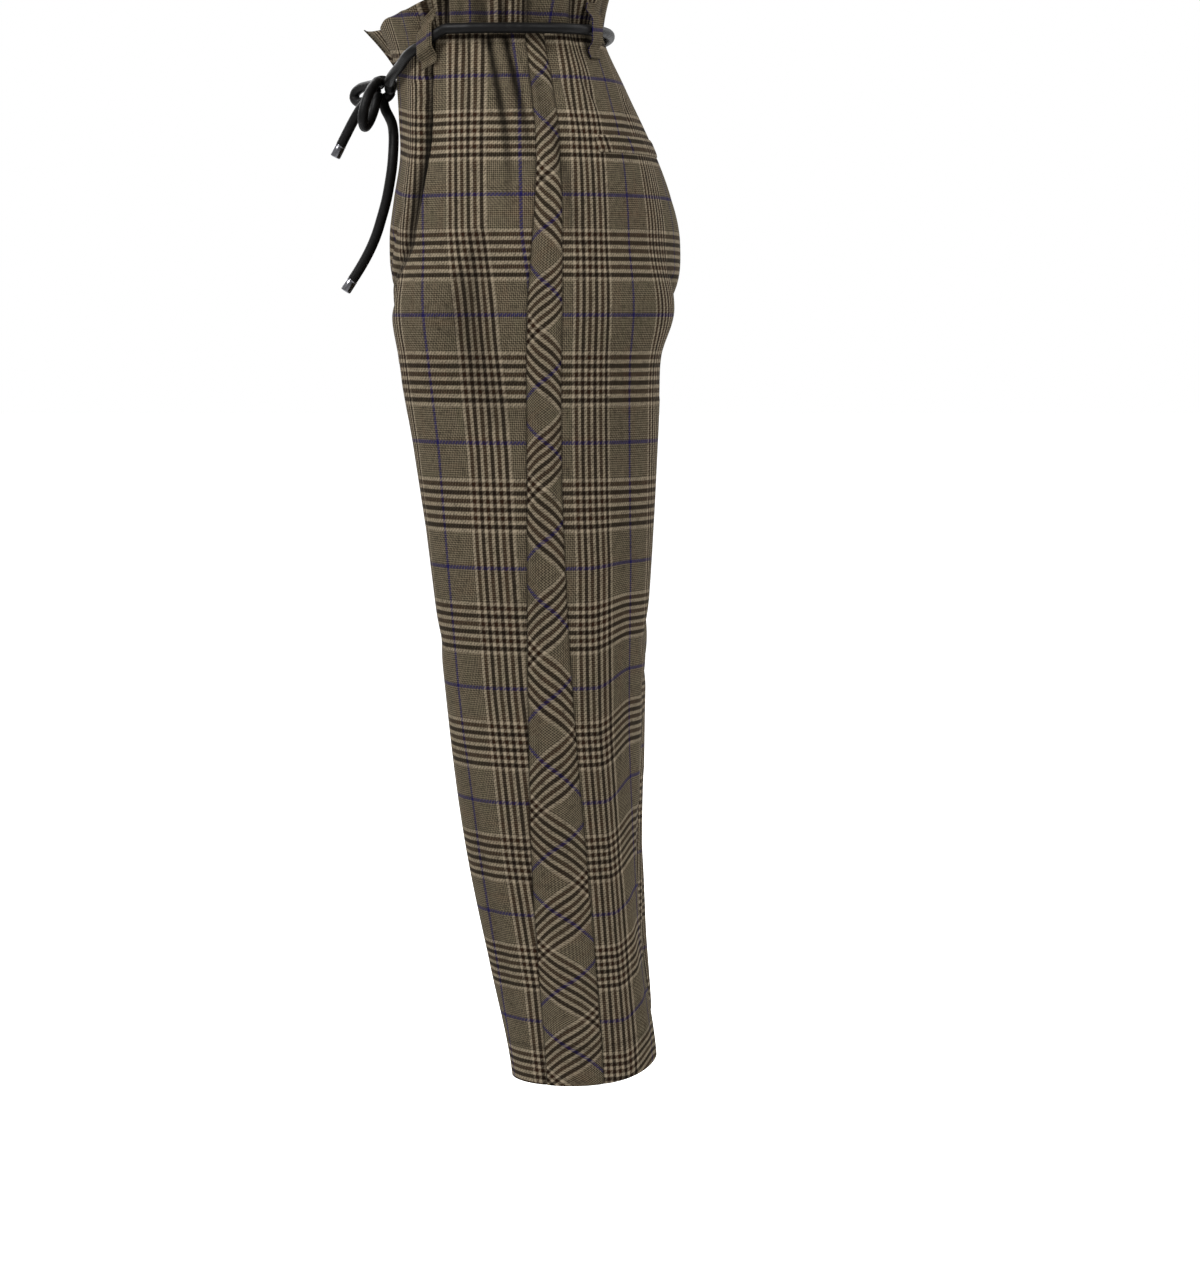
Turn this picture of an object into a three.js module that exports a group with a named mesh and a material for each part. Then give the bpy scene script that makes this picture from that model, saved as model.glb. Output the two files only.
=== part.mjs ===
// Paperbag waist trousers in checked wool, worn shape, with a cord belt tied in a bow.
// Millimetres, +Z up, front towards -Y, the wearer's left towards +X.
// The origin is the middle of the waist at the height of the cord belt.
import * as THREE from 'three';

// ---- driving dimensions --------------------------------------------------------------------
const WALL = 1.5;              // one layer of wool with its pressed seam allowances
const FRILL_WALL = 2.2;        // the frill is cloth folded double
const SEAM_GAP = 0.3;          // clearance between pieces that are sewn together
const HIP_SQUARENESS = 2.3;    // exponent of the body's rounded section
const LEG_SQUARENESS = 2.15;   // exponent of a leg's rounded section

const RISE_TOP = -185;         // where the centre seams leave the straight line
const CROTCH = -297;           // height of the fork
const HEM = -956;              // height of the hem at the side
const FRONT_DIP = 33;          // how far the waist seam dips at centre front
const DIP_END = 0.37;          // place on the ring, from centre front, where the dip ends
const BACK_LIFT = 4;           // how far it climbs at centre back
const HEM_BACK_LIFT = 19;      // the hem is this much higher at the back of the ankle
const BLEND_BULGE = 0.12;      // keeps the depth of the rings between body and leg

const RIGHT_SET_BACK = 7;      // the right shin stands this much further back

const CORD_RADIUS = 4.75;
const CORD_SIDES = 8;
const TIP_RADIUS = 5.1;
const TIP_LENGTH = 12.5;

// Sections of the left half, from the waist seam to the hem.
// z: height; front, back: y of the foremost and hindmost cloth; outer: x of the side;
// inner: x of the inside of the leg; stripFront, stripBack: y of the side strip's two seams.
const SECTIONS = [
  { z: 0, front: -94, back: 97, outer: 130, inner: 0, stripFront: 28, stripBack: 47 },
  { z: -50, front: -92, back: 119, outer: 146, inner: 0, stripFront: 34, stripBack: 54 },
  { z: -100, front: -91, back: 143, outer: 163, inner: 0, stripFront: 38, stripBack: 60 },
  { z: -150, front: -97, back: 162, outer: 176, inner: 0, stripFront: 38, stripBack: 62 },
  { z: -190, front: -101, back: 170, outer: 182, inner: 0, stripFront: 35, stripBack: 62 },
  { z: -250, front: -94, back: 165, outer: 184, inner: 0, stripFront: 31, stripBack: 62 },
  { z: -300, front: -88, back: 152, outer: 183, inner: 0.5, stripFront: 30, stripBack: 61 },
  { z: -370, front: -76, back: 148, outer: 181, inner: 9, stripFront: 30, stripBack: 61 },
  { z: -450, front: -64, back: 144, outer: 178, inner: 15, stripFront: 30, stripBack: 63 },
  { z: -550, front: -52, back: 138, outer: 174, inner: 21, stripFront: 30, stripBack: 68 },
  { z: -650, front: -40, back: 133, outer: 169, inner: 27, stripFront: 31, stripBack: 75 },
  { z: -750, front: -25, back: 132, outer: 163, inner: 33, stripFront: 33, stripBack: 84 },
  { z: -850, front: -6, back: 136, outer: 159, inner: 39, stripFront: 39, stripBack: 92 },
  { z: -960, front: 14, back: 148, outer: 156, inner: 45, stripFront: 46, stripBack: 99 },
];

// Pleats and main folds. turnTop, turnEnd: where on the ring the fold starts and ends
// (0 centre front or inseam, 0.5 side, 1 centre back or inseam); top, end: heights;
// depth: how far it goes in (negative stands out); width: half its width on the ring.
const FOLDS = [
  { turnTop: 0.352, turnEnd: 0.175, top: 20, end: -330, depth: 9, width: 0.024 },
  { turnTop: 0.285, turnEnd: 0.105, top: 20, end: -300, depth: -4, width: 0.040 },
  { turnTop: 0.440, turnEnd: 0.360, top: 20, end: -190, depth: 6, width: 0.020 },
  { turnTop: 0.482, turnEnd: 0.430, top: 20, end: -160, depth: 5, width: 0.018 },
  { turnTop: 0.620, turnEnd: 0.640, top: 20, end: -240, depth: 6, width: 0.028 },
  { turnTop: 0.760, turnEnd: 0.740, top: 20, end: -100, depth: 4, width: 0.024 },
  { turnTop: 0.900, turnEnd: 0.760, top: -190, end: -330, depth: 6, width: 0.040 },
  { turnTop: 0.660, turnEnd: 0.680, top: -420, end: -960, depth: 3, width: 0.040 },
  { turnTop: 0.180, turnEnd: 0.240, top: -480, end: -960, depth: -4, width: 0.040 },
];

// Folds of the frill. turn: place on the ring; depth: in (negative: out) at the top edge.
const FRILL_FOLDS = [
  { turn: 0.290, depth: -5, width: 0.050 },
  { turn: 0.366, depth: 11, width: 0.018 },
  { turn: 0.410, depth: -3, width: 0.024 },
  { turn: 0.460, depth: 7, width: 0.020 },
  { turn: 0.515, depth: -5, width: 0.026 },
  { turn: 0.580, depth: 9, width: 0.022 },
  { turn: 0.650, depth: -5, width: 0.030 },
  { turn: 0.740, depth: 8, width: 0.024 },
  { turn: 0.830, depth: -5, width: 0.035 },
  { turn: 0.930, depth: 6, width: 0.028 },
];

// Belt loops. turn: place of the loop's middle on the ring.
const BELT_LOOPS = [
  { name: 'front', turn: 0.320 },
  { name: 'back', turn: 0.800 },
];

const COLOURS = {
  check: { color: 0x564d40, roughness: 0.93, metalness: 0 },
  bias: { color: 0x5b5142, roughness: 0.93, metalness: 0 },
  cord: { color: 0x141312, roughness: 0.42, metalness: 0 },
  tip: { color: 0x4a4a4e, roughness: 0.22, metalness: 1 },
};

// ---- small helpers -------------------------------------------------------------------------
const clamp01 = (t) => Math.min(1, Math.max(0, t));
const mix = (a, b, t) => a + (b - a) * t;
const smooth = (t) => clamp01(t) ** 2 * (3 - 2 * clamp01(t));
const bell = (t) => Math.exp(-t * t);
const signedPower = (value, power) => Math.sign(value) * Math.abs(value) ** power;

// Catmull-Rom value of one column of a table whose rows run downwards in z.
function column(table, key, z) {
  const last = table.length - 1;
  let row = 0;
  while (row < last - 1 && z < table[row + 1].z) row += 1;
  const at = (index) => table[Math.min(last, Math.max(0, index))];
  const t = clamp01((z - at(row).z) / (at(row + 1).z - at(row).z));
  const [a, b, c, d] = [at(row - 1)[key], at(row)[key], at(row + 1)[key], at(row + 2)[key]];
  return b + 0.5 * t * (c - a + t * (2 * a - 5 * b + 4 * c - d + t * (3 * (b - c) + d - a)));
}

// ---- the cloth's surface -------------------------------------------------------------------
// A level runs from 0 (waist seam) over 1 (top of the curved rise) and 2 (fork) to 3 (hem).
function levelHeight(level) {
  if (level < 1) return RISE_TOP * level;
  if (level < 2) return mix(RISE_TOP, CROTCH, level - 1);
  return mix(CROTCH, HEM, level - 2);
}

// Half of the body's section: turn 0 is centre front, 0.5 the side, 1 centre back.
function bodyRing(turn, z, depthScale) {
  const front = column(SECTIONS, 'front', z);
  const back = column(SECTIONS, 'back', z);
  const angle = Math.PI * turn;
  const power = 2 / HIP_SQUARENESS;
  const x = column(SECTIONS, 'outer', z) * signedPower(Math.sin(angle), power);
  const reach = (back - front) / 2 * depthScale;
  return [x, (front + back) / 2 - reach * signedPower(Math.cos(angle), power)];
}

// A whole leg's section: turn 0 and 1 are the inseam, 0.25 the front, 0.5 the side.
function legRing(turn, z, depthScale) {
  const front = column(SECTIONS, 'front', z);
  const back = column(SECTIONS, 'back', z);
  const outer = column(SECTIONS, 'outer', z);
  const inner = Math.max(0, column(SECTIONS, 'inner', z));
  const angle = 2 * Math.PI * turn;
  const power = 2 / LEG_SQUARENESS;
  const x = (inner + outer) / 2 - (outer - inner) / 2 * signedPower(Math.cos(angle), power);
  const reach = (back - front) / 2 * depthScale;
  return [x, (front + back) / 2 - reach * signedPower(Math.sin(angle), power)];
}

// Sum of all the folds at a place on the ring and a height, in millimetres inwards.
function foldDepth(turn, z) {
  let depth = 0;
  for (const fold of FOLDS) {
    const along = clamp01((fold.top - z) / (fold.top - fold.end));
    const line = mix(fold.turnTop, fold.turnEnd, along ** 0.7);
    const width = fold.width * (1 + along);
    const fade = fold.top > 0 ? 1 - smooth(along) : bell((along - 0.5) * 3.2);
    const inside = fold.top > 0 || (z <= fold.top && z >= fold.end);
    if (inside) depth += fold.depth * fade * bell((turn - line) / width);
  }
  return depth;
}

// The body's ring turns into the leg's ring between the top of the rise and the fork. At the
// centre seams it does so along a quarter circle, which gives the curved rise.
function ringPoint(turn, level, folded = true) {
  const z = levelHeight(level);
  const step = clamp01(level - 1);
  const edge = Math.abs(2 * turn - 1);
  const quarter = step * Math.PI / 2;
  const blend = mix(smooth(step), 1 - Math.cos(quarter), edge ** 2);
  const even = smooth(step);
  const depthScale = 1 + BLEND_BULGE * 4 * even * (1 - even);
  const [bodyX, bodyY] = bodyRing(turn, z, depthScale);
  const [legX, legY] = legRing(turn, z, depthScale);
  const point = new THREE.Vector3(mix(bodyX, legX, blend), mix(bodyY, legY, blend), z);
  if (step > 0 && step < 1) {
    point.z += (RISE_TOP - CROTCH) * (step - Math.sin(quarter)) * edge ** 6;
  }
  const waistShare = clamp01(1 + z / 150);
  point.z -= FRONT_DIP * waistShare * Math.max(0, 1 - (turn / DIP_END) ** 2.2);
  point.z += BACK_LIFT * waistShare * smooth((turn - 0.5) / 0.5);
  point.z += HEM_BACK_LIFT * clamp01((-820 - z) / 140) * bell((turn - 0.77) / 0.16);
  if (folded) {
    const inwards = foldDepth(turn, z) * smooth(4 * turn) * smooth(4 * (1 - turn));
    point.addScaledVector(ringOutwards(turn, level), -inwards);
  }
  return point;
}

// Direction away from the cloth's hollow, level, square to the ring without its folds.
function ringOutwards(turn, level) {
  const small = 1e-3;
  const before = ringPoint(Math.max(0, turn - small), level, false);
  const after = ringPoint(Math.min(1, turn + small), level, false);
  return new THREE.Vector3(after.y - before.y, before.x - after.x, 0).normalize();
}

// Direction square to the folded cloth.
function clothNormal(turn, level) {
  const small = 2e-3;
  const across = ringPoint(Math.min(1, turn + small), level)
    .sub(ringPoint(Math.max(0, turn - small), level));
  const down = ringPoint(turn, Math.min(3, level + 0.02))
    .sub(ringPoint(turn, Math.max(0, level - 0.02)));
  const normal = across.cross(down);
  return normal.negate().normalize();
}

// Place on the ring, on its outer side, where the cloth has the given y.
function turnAt(y, level) {
  let low = 0.28;
  let high = 0.82;
  for (let pass = 0; pass < 30; pass += 1) {
    const middle = (low + high) / 2;
    if (ringPoint(middle, level, false).y < y) low = middle;
    else high = middle;
  }
  return (low + high) / 2;
}

// Share of a turn that a length of cloth takes at a place.
function turnOf(length, turn, level) {
  const small = 0.01;
  const start = ringPoint(Math.max(0, turn - small), level, false);
  const end = ringPoint(Math.min(1, turn + small), level, false);
  const span = Math.min(1, turn + small) - Math.max(0, turn - small);
  return length * span / start.distanceTo(end);
}

// How far back the right leg stands at a height; its hem comes level with the left one again.
function setBack(z) {
  return RIGHT_SET_BACK * smooth((-400 - z) / 300) * (1 - 1.3 * smooth((-800 - z) / 160));
}

// ---- building solids -----------------------------------------------------------------------
// A closed wall between two grids of points, outer and inner. On the wearer's right, side is -1:
// it is the mirror image of the left, with the leg set back.
function wall(columns, rows, outerPoint, innerPoint, side = 1) {
  const positions = [];
  for (const layer of [outerPoint, innerPoint]) {
    for (let row = 0; row <= rows; row += 1) {
      for (let col = 0; col <= columns; col += 1) {
        const point = layer(col, row);
        positions.push(point.x * side, point.y + (side < 0 ? setBack(point.z) : 0), point.z);
      }
    }
  }
  const stride = columns + 1;
  const layerSize = stride * (rows + 1);
  const faces = [];
  const quad = (a, b, c, d) => faces.push([a, b, c], [a, c, d]);
  for (let row = 0; row < rows; row += 1) {
    for (let col = 0; col < columns; col += 1) {
      const a = row * stride + col;
      quad(a, a + stride, a + stride + 1, a + 1);
      quad(layerSize + a, layerSize + a + 1, layerSize + a + stride + 1, layerSize + a + stride);
    }
  }
  const closeEdge = (a, b) => quad(a, b, layerSize + b, layerSize + a);
  for (let col = 0; col < columns; col += 1) {
    closeEdge(col, col + 1);
    closeEdge(rows * stride + col + 1, rows * stride + col);
  }
  for (let row = 0; row < rows; row += 1) {
    closeEdge((row + 1) * stride, row * stride);
    closeEdge(row * stride + columns, (row + 1) * stride + columns);
  }
  const geometry = new THREE.BufferGeometry();
  geometry.setAttribute('position', new THREE.Float32BufferAttribute(positions, 3));
  const order = side > 0 ? ([a, b, c]) => [a, b, c] : ([a, b, c]) => [a, c, b];
  geometry.setIndex(faces.flatMap(order));
  return geometry;
}

// Levels of the rows of points: wide over the hips, close along the rise, then down the leg.
const LEVELS = [
  ...Array.from({ length: 5 }, (_, index) => index / 5),
  ...Array.from({ length: 6 }, (_, index) => 1 + index / 6),
  ...Array.from({ length: 12 }, (_, index) => 2 + index / 11),
];

// One panel between two seams, each a function that gives a turn for a level.
function panel(fromSeam, toSeam, columns, side) {
  const place = (col, row) => {
    const level = LEVELS[row];
    const from = fromSeam(level);
    const to = toSeam(level);
    const start = from + turnOf(SEAM_GAP / 2, from, level);
    const end = to - turnOf(SEAM_GAP / 2, to, level);
    return [mix(start, end, col / columns), level];
  };
  const outer = (col, row) => {
    const point = ringPoint(...place(col, row));
    point.x += SEAM_GAP / 2;
    return point;
  };
  const inner = (col, row) => {
    const outwards = (row === 0 ? ringOutwards : clothNormal)(...place(col, row));
    const point = outer(col, row).addScaledVector(outwards, -WALL);
    point.x = Math.max(point.x, SEAM_GAP / 2);
    return point;
  };
  return wall(columns, LEVELS.length - 1, outer, inner, side);
}

const frontSeam = () => 0;
const backSeam = () => 1;
const stripFront = (level) => turnAt(column(SECTIONS, 'stripFront', levelHeight(level)), level);
const stripBack = (level) => turnAt(column(SECTIONS, 'stripBack', levelHeight(level)), level);

// Panels of one half in the order of their turns.
const PANELS = [
  { name: 'front', from: frontSeam, to: stripFront, columns: 17, colour: 'check' },
  { name: 'side_strip', from: stripFront, to: stripBack, columns: 3, colour: 'bias' },
  { name: 'back', from: stripBack, to: backSeam, columns: 12, colour: 'check' },
];

// Place in a quad of a wall's grid, which is split from its first corner to the opposite one.
// across, down: shares of the way along the quad's columns and rows.
function onQuad(corner, across, down) {
  const first = corner(0, 0);
  const last = corner(1, 1);
  const side = down > across ? corner(0, 1) : corner(1, 0);
  const [toSide, toLast] = down > across ? [down, across] : [across, down];
  return first.addScaledVector(side.clone().sub(first), toSide)
    .addScaledVector(last.sub(side), toLast);
}

// A place on the flat facets of the panels, so that what lies on them follows the facets.
function facetPoint(turn, level) {
  const row = Math.max(0, LEVELS.findLastIndex((value) => value <= level));
  const down = (level - LEVELS[row]) / (LEVELS[row + 1] - LEVELS[row]);
  const seam = (name, index) => PANELS[index][name](level);
  const index = PANELS.findIndex((each, place) => turn <= seam('to', place) || place === 2);
  const { from, to, columns } = PANELS[index];
  const along = (turn - from(level)) / (to(level) - from(level)) * columns;
  const first = Math.min(columns - 1, Math.floor(along));
  const corner = (across, below) => {
    const rowLevel = LEVELS[row + below];
    return ringPoint(mix(from(rowLevel), to(rowLevel), (first + across) / columns), rowLevel);
  };
  const point = onQuad(corner, along - first, down);
  point.x += SEAM_GAP / 2;
  return point;
}

// ---- the frill -----------------------------------------------------------------------------
const FRILL_HEIGHT = 41;
const FRILL_SAG = 8;           // how much lower its top edge is beside the front corners
const FRILL_LEAN = { left: 15, right: 31, side: 9 };
const FRILL_ROWS = 3;

// A point of the frill: turn round the waist, rise 0 at its seam to 1 at its top edge.
function frillPoint(turn, rise, side) {
  const base = ringPoint(turn, 0);
  const outwards = ringOutwards(turn, 0);
  const frontShare = smooth(1 - turn / 0.24);
  const lean = mix(FRILL_LEAN.side, side > 0 ? FRILL_LEAN.left : FRILL_LEAN.right, frontShare);
  let out = lean * rise ** 1.3;
  for (const fold of FRILL_FOLDS) {
    out -= fold.depth * rise * bell((turn - fold.turn) / fold.width);
  }
  base.addScaledVector(outwards, out);
  const height = FRILL_HEIGHT - FRILL_SAG * bell((turn - 0.23) / 0.11);
  base.z += SEAM_GAP + height * rise;
  base.x += SEAM_GAP / 2;
  return base;
}

// The frill has its columns where the panels below it have theirs.
const FRILL_TURNS = PANELS.flatMap(({ from, to, columns }, index) => {
  const first = index === 0 ? 0 : 1;
  const steps = Array.from({ length: columns + 1 - first }, (_, step) => (step + first) / columns);
  return steps.map((share) => mix(from(0), to(0), share));
});

// A place on the frill's flat facets.
function frillFacetPoint(turn, rise, side) {
  const first = FRILL_TURNS.findLastIndex((value) => value <= turn);
  const along = (turn - FRILL_TURNS[first]) / (FRILL_TURNS[first + 1] - FRILL_TURNS[first]);
  const below = (1 - rise) * FRILL_ROWS;
  const row = Math.min(FRILL_ROWS - 1, Math.floor(below));
  const corner = (across, down) => {
    return frillPoint(FRILL_TURNS[first + across], 1 - (row + down) / FRILL_ROWS, side);
  };
  return onQuad(corner, along, below - row);
}

function frill(side) {
  const outer = (col, row) => frillPoint(FRILL_TURNS[col], 1 - row / FRILL_ROWS, side);
  const inner = (col, row) => {
    const point = outer(col, row);
    point.addScaledVector(ringOutwards(FRILL_TURNS[col], 0), -FRILL_WALL);
    point.x = Math.max(point.x, SEAM_GAP / 2);
    return point;
  };
  return wall(FRILL_TURNS.length - 1, FRILL_ROWS, outer, inner, side);
}

// ---- what lies on the panels ---------------------------------------------------------------
// The cord runs along the waist seam and drops below it towards the bow at centre front.
const CORD_DROP = { side: 2, front: 11 };
const CORD_OFFSET = CORD_RADIUS + 1.8;

function cordPoint(turn) {
  const drop = mix(CORD_DROP.side, CORD_DROP.front, smooth(1 - turn / 0.36));
  const level = -drop / RISE_TOP;
  const point = ringPoint(turn, level, false);
  const proud = Math.max(0, -foldDepth(turn, levelHeight(level)));
  return point.addScaledVector(ringOutwards(turn, level), CORD_OFFSET + proud);
}

const LOOP_WIDTH = 18;
const LOOP_THICKNESS = 1.6;
const LOOP_STAND = 1.0;        // clearance over the facets it is sewn on
const LOOP_OVER_CORD = 1.5;     // clearance over the cord
const LOOP_ABOVE = 22;
const LOOP_BELOW = 27;
const LOOP_COLUMNS = 5;
const LOOP_ROWS = 12;

// A belt loop: sewn on the frill above and on the panel below, standing clear over the cord.
function beltLoop(turn, side) {
  const half = turnOf(LOOP_WIDTH / 2, turn, 0);
  const centre = cordPoint(turn).z - ringPoint(turn, 0).z;
  const surface = (place, up) => {
    if (up > 0) return frillFacetPoint(place, up / FRILL_HEIGHT, side);
    return facetPoint(place, up / RISE_TOP);
  };
  const layer = (extra) => (col, row) => {
    const place = turn + half * mix(-1, 1, col / LOOP_COLUMNS);
    const up = mix(LOOP_ABOVE, -LOOP_BELOW, row / LOOP_ROWS);
    const outwards = ringOutwards(place, 0);
    const sewn = surface(place, up).addScaledVector(outwards, LOOP_STAND + extra);
    const overCord = cordPoint(place).addScaledVector(outwards, CORD_RADIUS + LOOP_OVER_CORD + extra);
    overCord.z = sewn.z;
    return sewn.lerp(overCord, smooth(1.85 - Math.abs(up - centre) / 11));
  };
  return wall(LOOP_COLUMNS, LOOP_ROWS, layer(LOOP_THICKNESS), layer(0), side);
}

const WELT = { fromTurn: 0.672, length: 118, top: -97, height: 15, thickness: 1.2, columns: 14 };
const WELT_STAND = 0.6;

// The welt of a back pocket, lying on the back panel.
function pocketWelt(side) {
  const layer = (extra) => (col, row) => {
    const level = (WELT.top - row * WELT.height) / RISE_TOP;
    const toTurn = WELT.fromTurn + turnOf(WELT.length, 0.78, level);
    const turn = mix(WELT.fromTurn, toTurn, col / WELT.columns);
    return facetPoint(turn, level).addScaledVector(clothNormal(turn, level), WELT_STAND + extra);
  };
  return wall(WELT.columns, 1, layer(WELT.thickness), layer(0), side);
}

// ---- the cord belt and its bow -------------------------------------------------------------
function polygon(radius, sides) {
  const corners = Array.from({ length: sides }, (_, index) => {
    const angle = 2 * Math.PI * index / sides;
    return new THREE.Vector2(radius * Math.cos(angle), radius * Math.sin(angle));
  });
  return new THREE.Shape(corners);
}

// A cord through points chosen along its middle.
function cord(points, steps) {
  const path = new THREE.CatmullRomCurve3(points.map((point) => new THREE.Vector3(...point)));
  const options = { steps, bevelEnabled: false, extrudePath: path };
  return new THREE.ExtrudeGeometry(polygon(CORD_RADIUS, CORD_SIDES), options);
}

const BELT_START = 0.032;
const BELT_STEPS = 60;

function beltCord() {
  const points = [];
  const count = 44;
  for (let index = 0; index <= count; index += 1) {
    const round = mix(BELT_START, 2 - BELT_START, index / count);
    const point = cordPoint(round <= 1 ? round : 2 - round);
    points.push([round <= 1 ? point.x : -point.x, point.y, point.z]);
  }
  const toKnot = [[9.5, -100.6, -46.4], [5.4, -100.5, -47]];
  points.unshift(...toKnot.toReversed());
  points.push(...toKnot.map(([x, y, z]) => [-x, y, z]));
  return cord(points, BELT_STEPS);
}

// The knot is one turn of cord round the strands that cross in its middle.
const KNOT = new THREE.Vector3(0, -108, -46.5);
const KNOT_RADIUS = 8.2;
const KNOT_STEPS = 14;

function bowKnot() {
  const points = [];
  const count = 16;
  const openness = 0.32;
  for (let index = 0; index <= count; index += 1) {
    const angle = mix(openness, 2 * Math.PI - openness, index / count);
    const y = KNOT.y + KNOT_RADIUS * Math.cos(angle);
    points.push([0, y, KNOT.z + KNOT_RADIUS * Math.sin(angle)]);
  }
  return cord(points, KNOT_STEPS);
}

// Routes along the middle of the cord, from the knot outwards.
const BOW_LOOP_LEFT = [
  [5.3, -110.5, -41],
  [9.5, -110.6, -40.8],
  [16, -111.4, -40.5],
  [28, -113, -44],
  [39, -117, -52],
  [45, -121, -64],
  [45, -123, -76],
  [38, -122, -83],
  [28, -119, -79],
  [19, -115, -68],
  [14, -112.6, -57],
  [9.5, -111.5, -54],
  [5.3, -111.3, -53.4],
];
const BOW_LOOP_RIGHT = [
  [-5.4, -110.5, -41.2],
  [-9.5, -111, -41.2],
  [-16, -116, -41],
  [-26, -124, -41.5],
  [-34, -131, -43],
  [-39, -136, -47],
  [-40, -137, -51.5],
  [-36, -133.5, -55.5],
  [-29, -128, -56],
  [-20, -121, -54.5],
  [-13, -114.5, -53.6],
  [-9.5, -112, -53.4],
  [-5.4, -111.3, -53.4],
];
const CORD_END_SHORT = [
  [-1, -119.4, -53.9],
  [-2.5, -123.5, -58],
  [-5, -129.5, -65],
  [-7.5, -136, -75.5],
  [-9, -142, -86.5],
  [-10, -147.5, -97],
];
const CORD_END_LONG = [
  [1, -106.5, -60.3],
  [2.5, -104.6, -66],
  [6, -101.6, -71.5],
  [12, -98.2, -79],
  [20, -96.4, -90],
  [26, -96.4, -105],
  [29, -97.5, -120],
  [30, -99.8, -135],
  [30, -102.8, -150],
  [30, -107, -165],
  [30, -112.4, -182],
  [30, -119.5, -198],
  [30, -128, -213],
  [30, -134.5, -223],
];
const BOW_STEPS = 20;

// A metal end cap, pushed on a cord's end and lying along its last stretch.
function tip(points) {
  const end = new THREE.Vector3(...points[points.length - 1]);
  const path = new THREE.CatmullRomCurve3(points.map((point) => new THREE.Vector3(...point)));
  const direction = path.getTangent(1);
  const rim = 0.8;
  const profile = [
    [0, 0],
    [TIP_RADIUS - rim / 2, 0],
    [TIP_RADIUS, rim],
    [TIP_RADIUS, TIP_LENGTH - rim],
    [TIP_RADIUS - rim, TIP_LENGTH],
    [0, TIP_LENGTH],
  ].map(([radius, along]) => new THREE.Vector2(radius, along));
  const geometry = new THREE.LatheGeometry(profile, 12);
  const mesh = makeMesh(geometry, 'tip');
  mesh.quaternion.setFromUnitVectors(new THREE.Vector3(0, 1, 0), direction);
  mesh.position.copy(end).addScaledVector(direction, SEAM_GAP);
  return mesh;
}

// ---- the scene graph -----------------------------------------------------------------------
function makeMesh(geometry, colour) {
  return new THREE.Mesh(geometry, new THREE.MeshStandardMaterial(COLOURS[colour]));
}

const trousers = new THREE.Group();
trousers.name = 'paperbag_waist_trousers';

function add(name, mesh) {
  mesh.name = name;
  trousers.add(mesh);
}

for (const [label, side] of [['left', 1], ['right', -1]]) {
  for (const { name, from, to, columns, colour } of PANELS) {
    add(`${name}_${label}`, makeMesh(panel(from, to, columns, side), colour));
  }
  add(`frill_${label}`, makeMesh(frill(side), 'check'));
  add(`back_pocket_welt_${label}`, makeMesh(pocketWelt(side), 'check'));
  for (const loop of BELT_LOOPS) {
    add(`belt_loop_${loop.name}_${label}`, makeMesh(beltLoop(loop.turn, side), 'check'));
  }
}

add('belt_cord', makeMesh(beltCord(), 'cord'));
add('bow_knot', makeMesh(bowKnot(), 'cord'));
add('bow_loop_left', makeMesh(cord(BOW_LOOP_LEFT, BOW_STEPS), 'cord'));
add('bow_loop_right', makeMesh(cord(BOW_LOOP_RIGHT, BOW_STEPS), 'cord'));
add('cord_end_short', makeMesh(cord(CORD_END_SHORT, BOW_STEPS / 2), 'cord'));
add('cord_end_long', makeMesh(cord(CORD_END_LONG, BOW_STEPS), 'cord'));
add('cord_tip_short', tip(CORD_END_SHORT));
add('cord_tip_long', tip(CORD_END_LONG));

export default trousers;
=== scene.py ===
"""Paperbag waist trousers in glen check wool, with a leather cord belt tied in a bow.

Metres, +Z up, front towards -Y, the wearer's left towards +X. The origin is the middle of the
waist at the height of the cord belt. A turn runs round one half of the cloth, from 0 at centre
front (lower down, the inseam) over 0.5 at the side to 1 at centre back. A level runs down it,
from 0 at the waist seam over 1 (top of the curved rise) and 2 (fork) to 3 at the hem.
"""

import logging
import math
from dataclasses import dataclass
from enum import Enum

import bmesh
import bpy
import numpy as np
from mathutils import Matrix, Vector


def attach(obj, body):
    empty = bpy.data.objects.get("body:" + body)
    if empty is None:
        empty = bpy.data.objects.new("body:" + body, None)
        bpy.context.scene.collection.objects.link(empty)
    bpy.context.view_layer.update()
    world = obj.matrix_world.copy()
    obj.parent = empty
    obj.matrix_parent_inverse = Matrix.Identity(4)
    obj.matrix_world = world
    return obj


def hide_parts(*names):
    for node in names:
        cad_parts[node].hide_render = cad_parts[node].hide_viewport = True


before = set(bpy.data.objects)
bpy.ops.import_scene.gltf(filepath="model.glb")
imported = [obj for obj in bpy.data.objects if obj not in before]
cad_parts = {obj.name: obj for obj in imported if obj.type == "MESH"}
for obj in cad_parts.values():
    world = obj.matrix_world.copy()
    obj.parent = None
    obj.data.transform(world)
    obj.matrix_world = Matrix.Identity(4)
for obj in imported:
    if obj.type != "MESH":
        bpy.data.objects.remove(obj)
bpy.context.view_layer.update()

Array = np.ndarray
LOG = logging.getLogger("trousers")


class Side(Enum):
    """The two halves of the garment, as the wearer has them."""

    LEFT = 1
    RIGHT = -1

    @property
    def label(self) -> str:
        """Give the ending of the names of this half's pieces."""
        return self.name.lower()


# ---- small curves ------------------------------------------------------------------------


def clamp01(value: Array) -> Array:
    """Keep a value between 0 and 1."""
    return np.clip(value, 0.0, 1.0)


def mix(start: Array, end: Array, share: Array) -> Array:
    """Go from start to end in a straight line."""
    return start + (end - start) * share


def smooth(value: Array) -> Array:
    """Go from 0 to 1 in an S: three squares less two cubes."""
    value = clamp01(value)
    return value * value * (3 - 2 * value)


def below(z: Array, start: float, length: float) -> Array:
    """Go in an S from 0 at the height start to 1 a length below it."""
    return smooth((start - z) / length)


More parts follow.
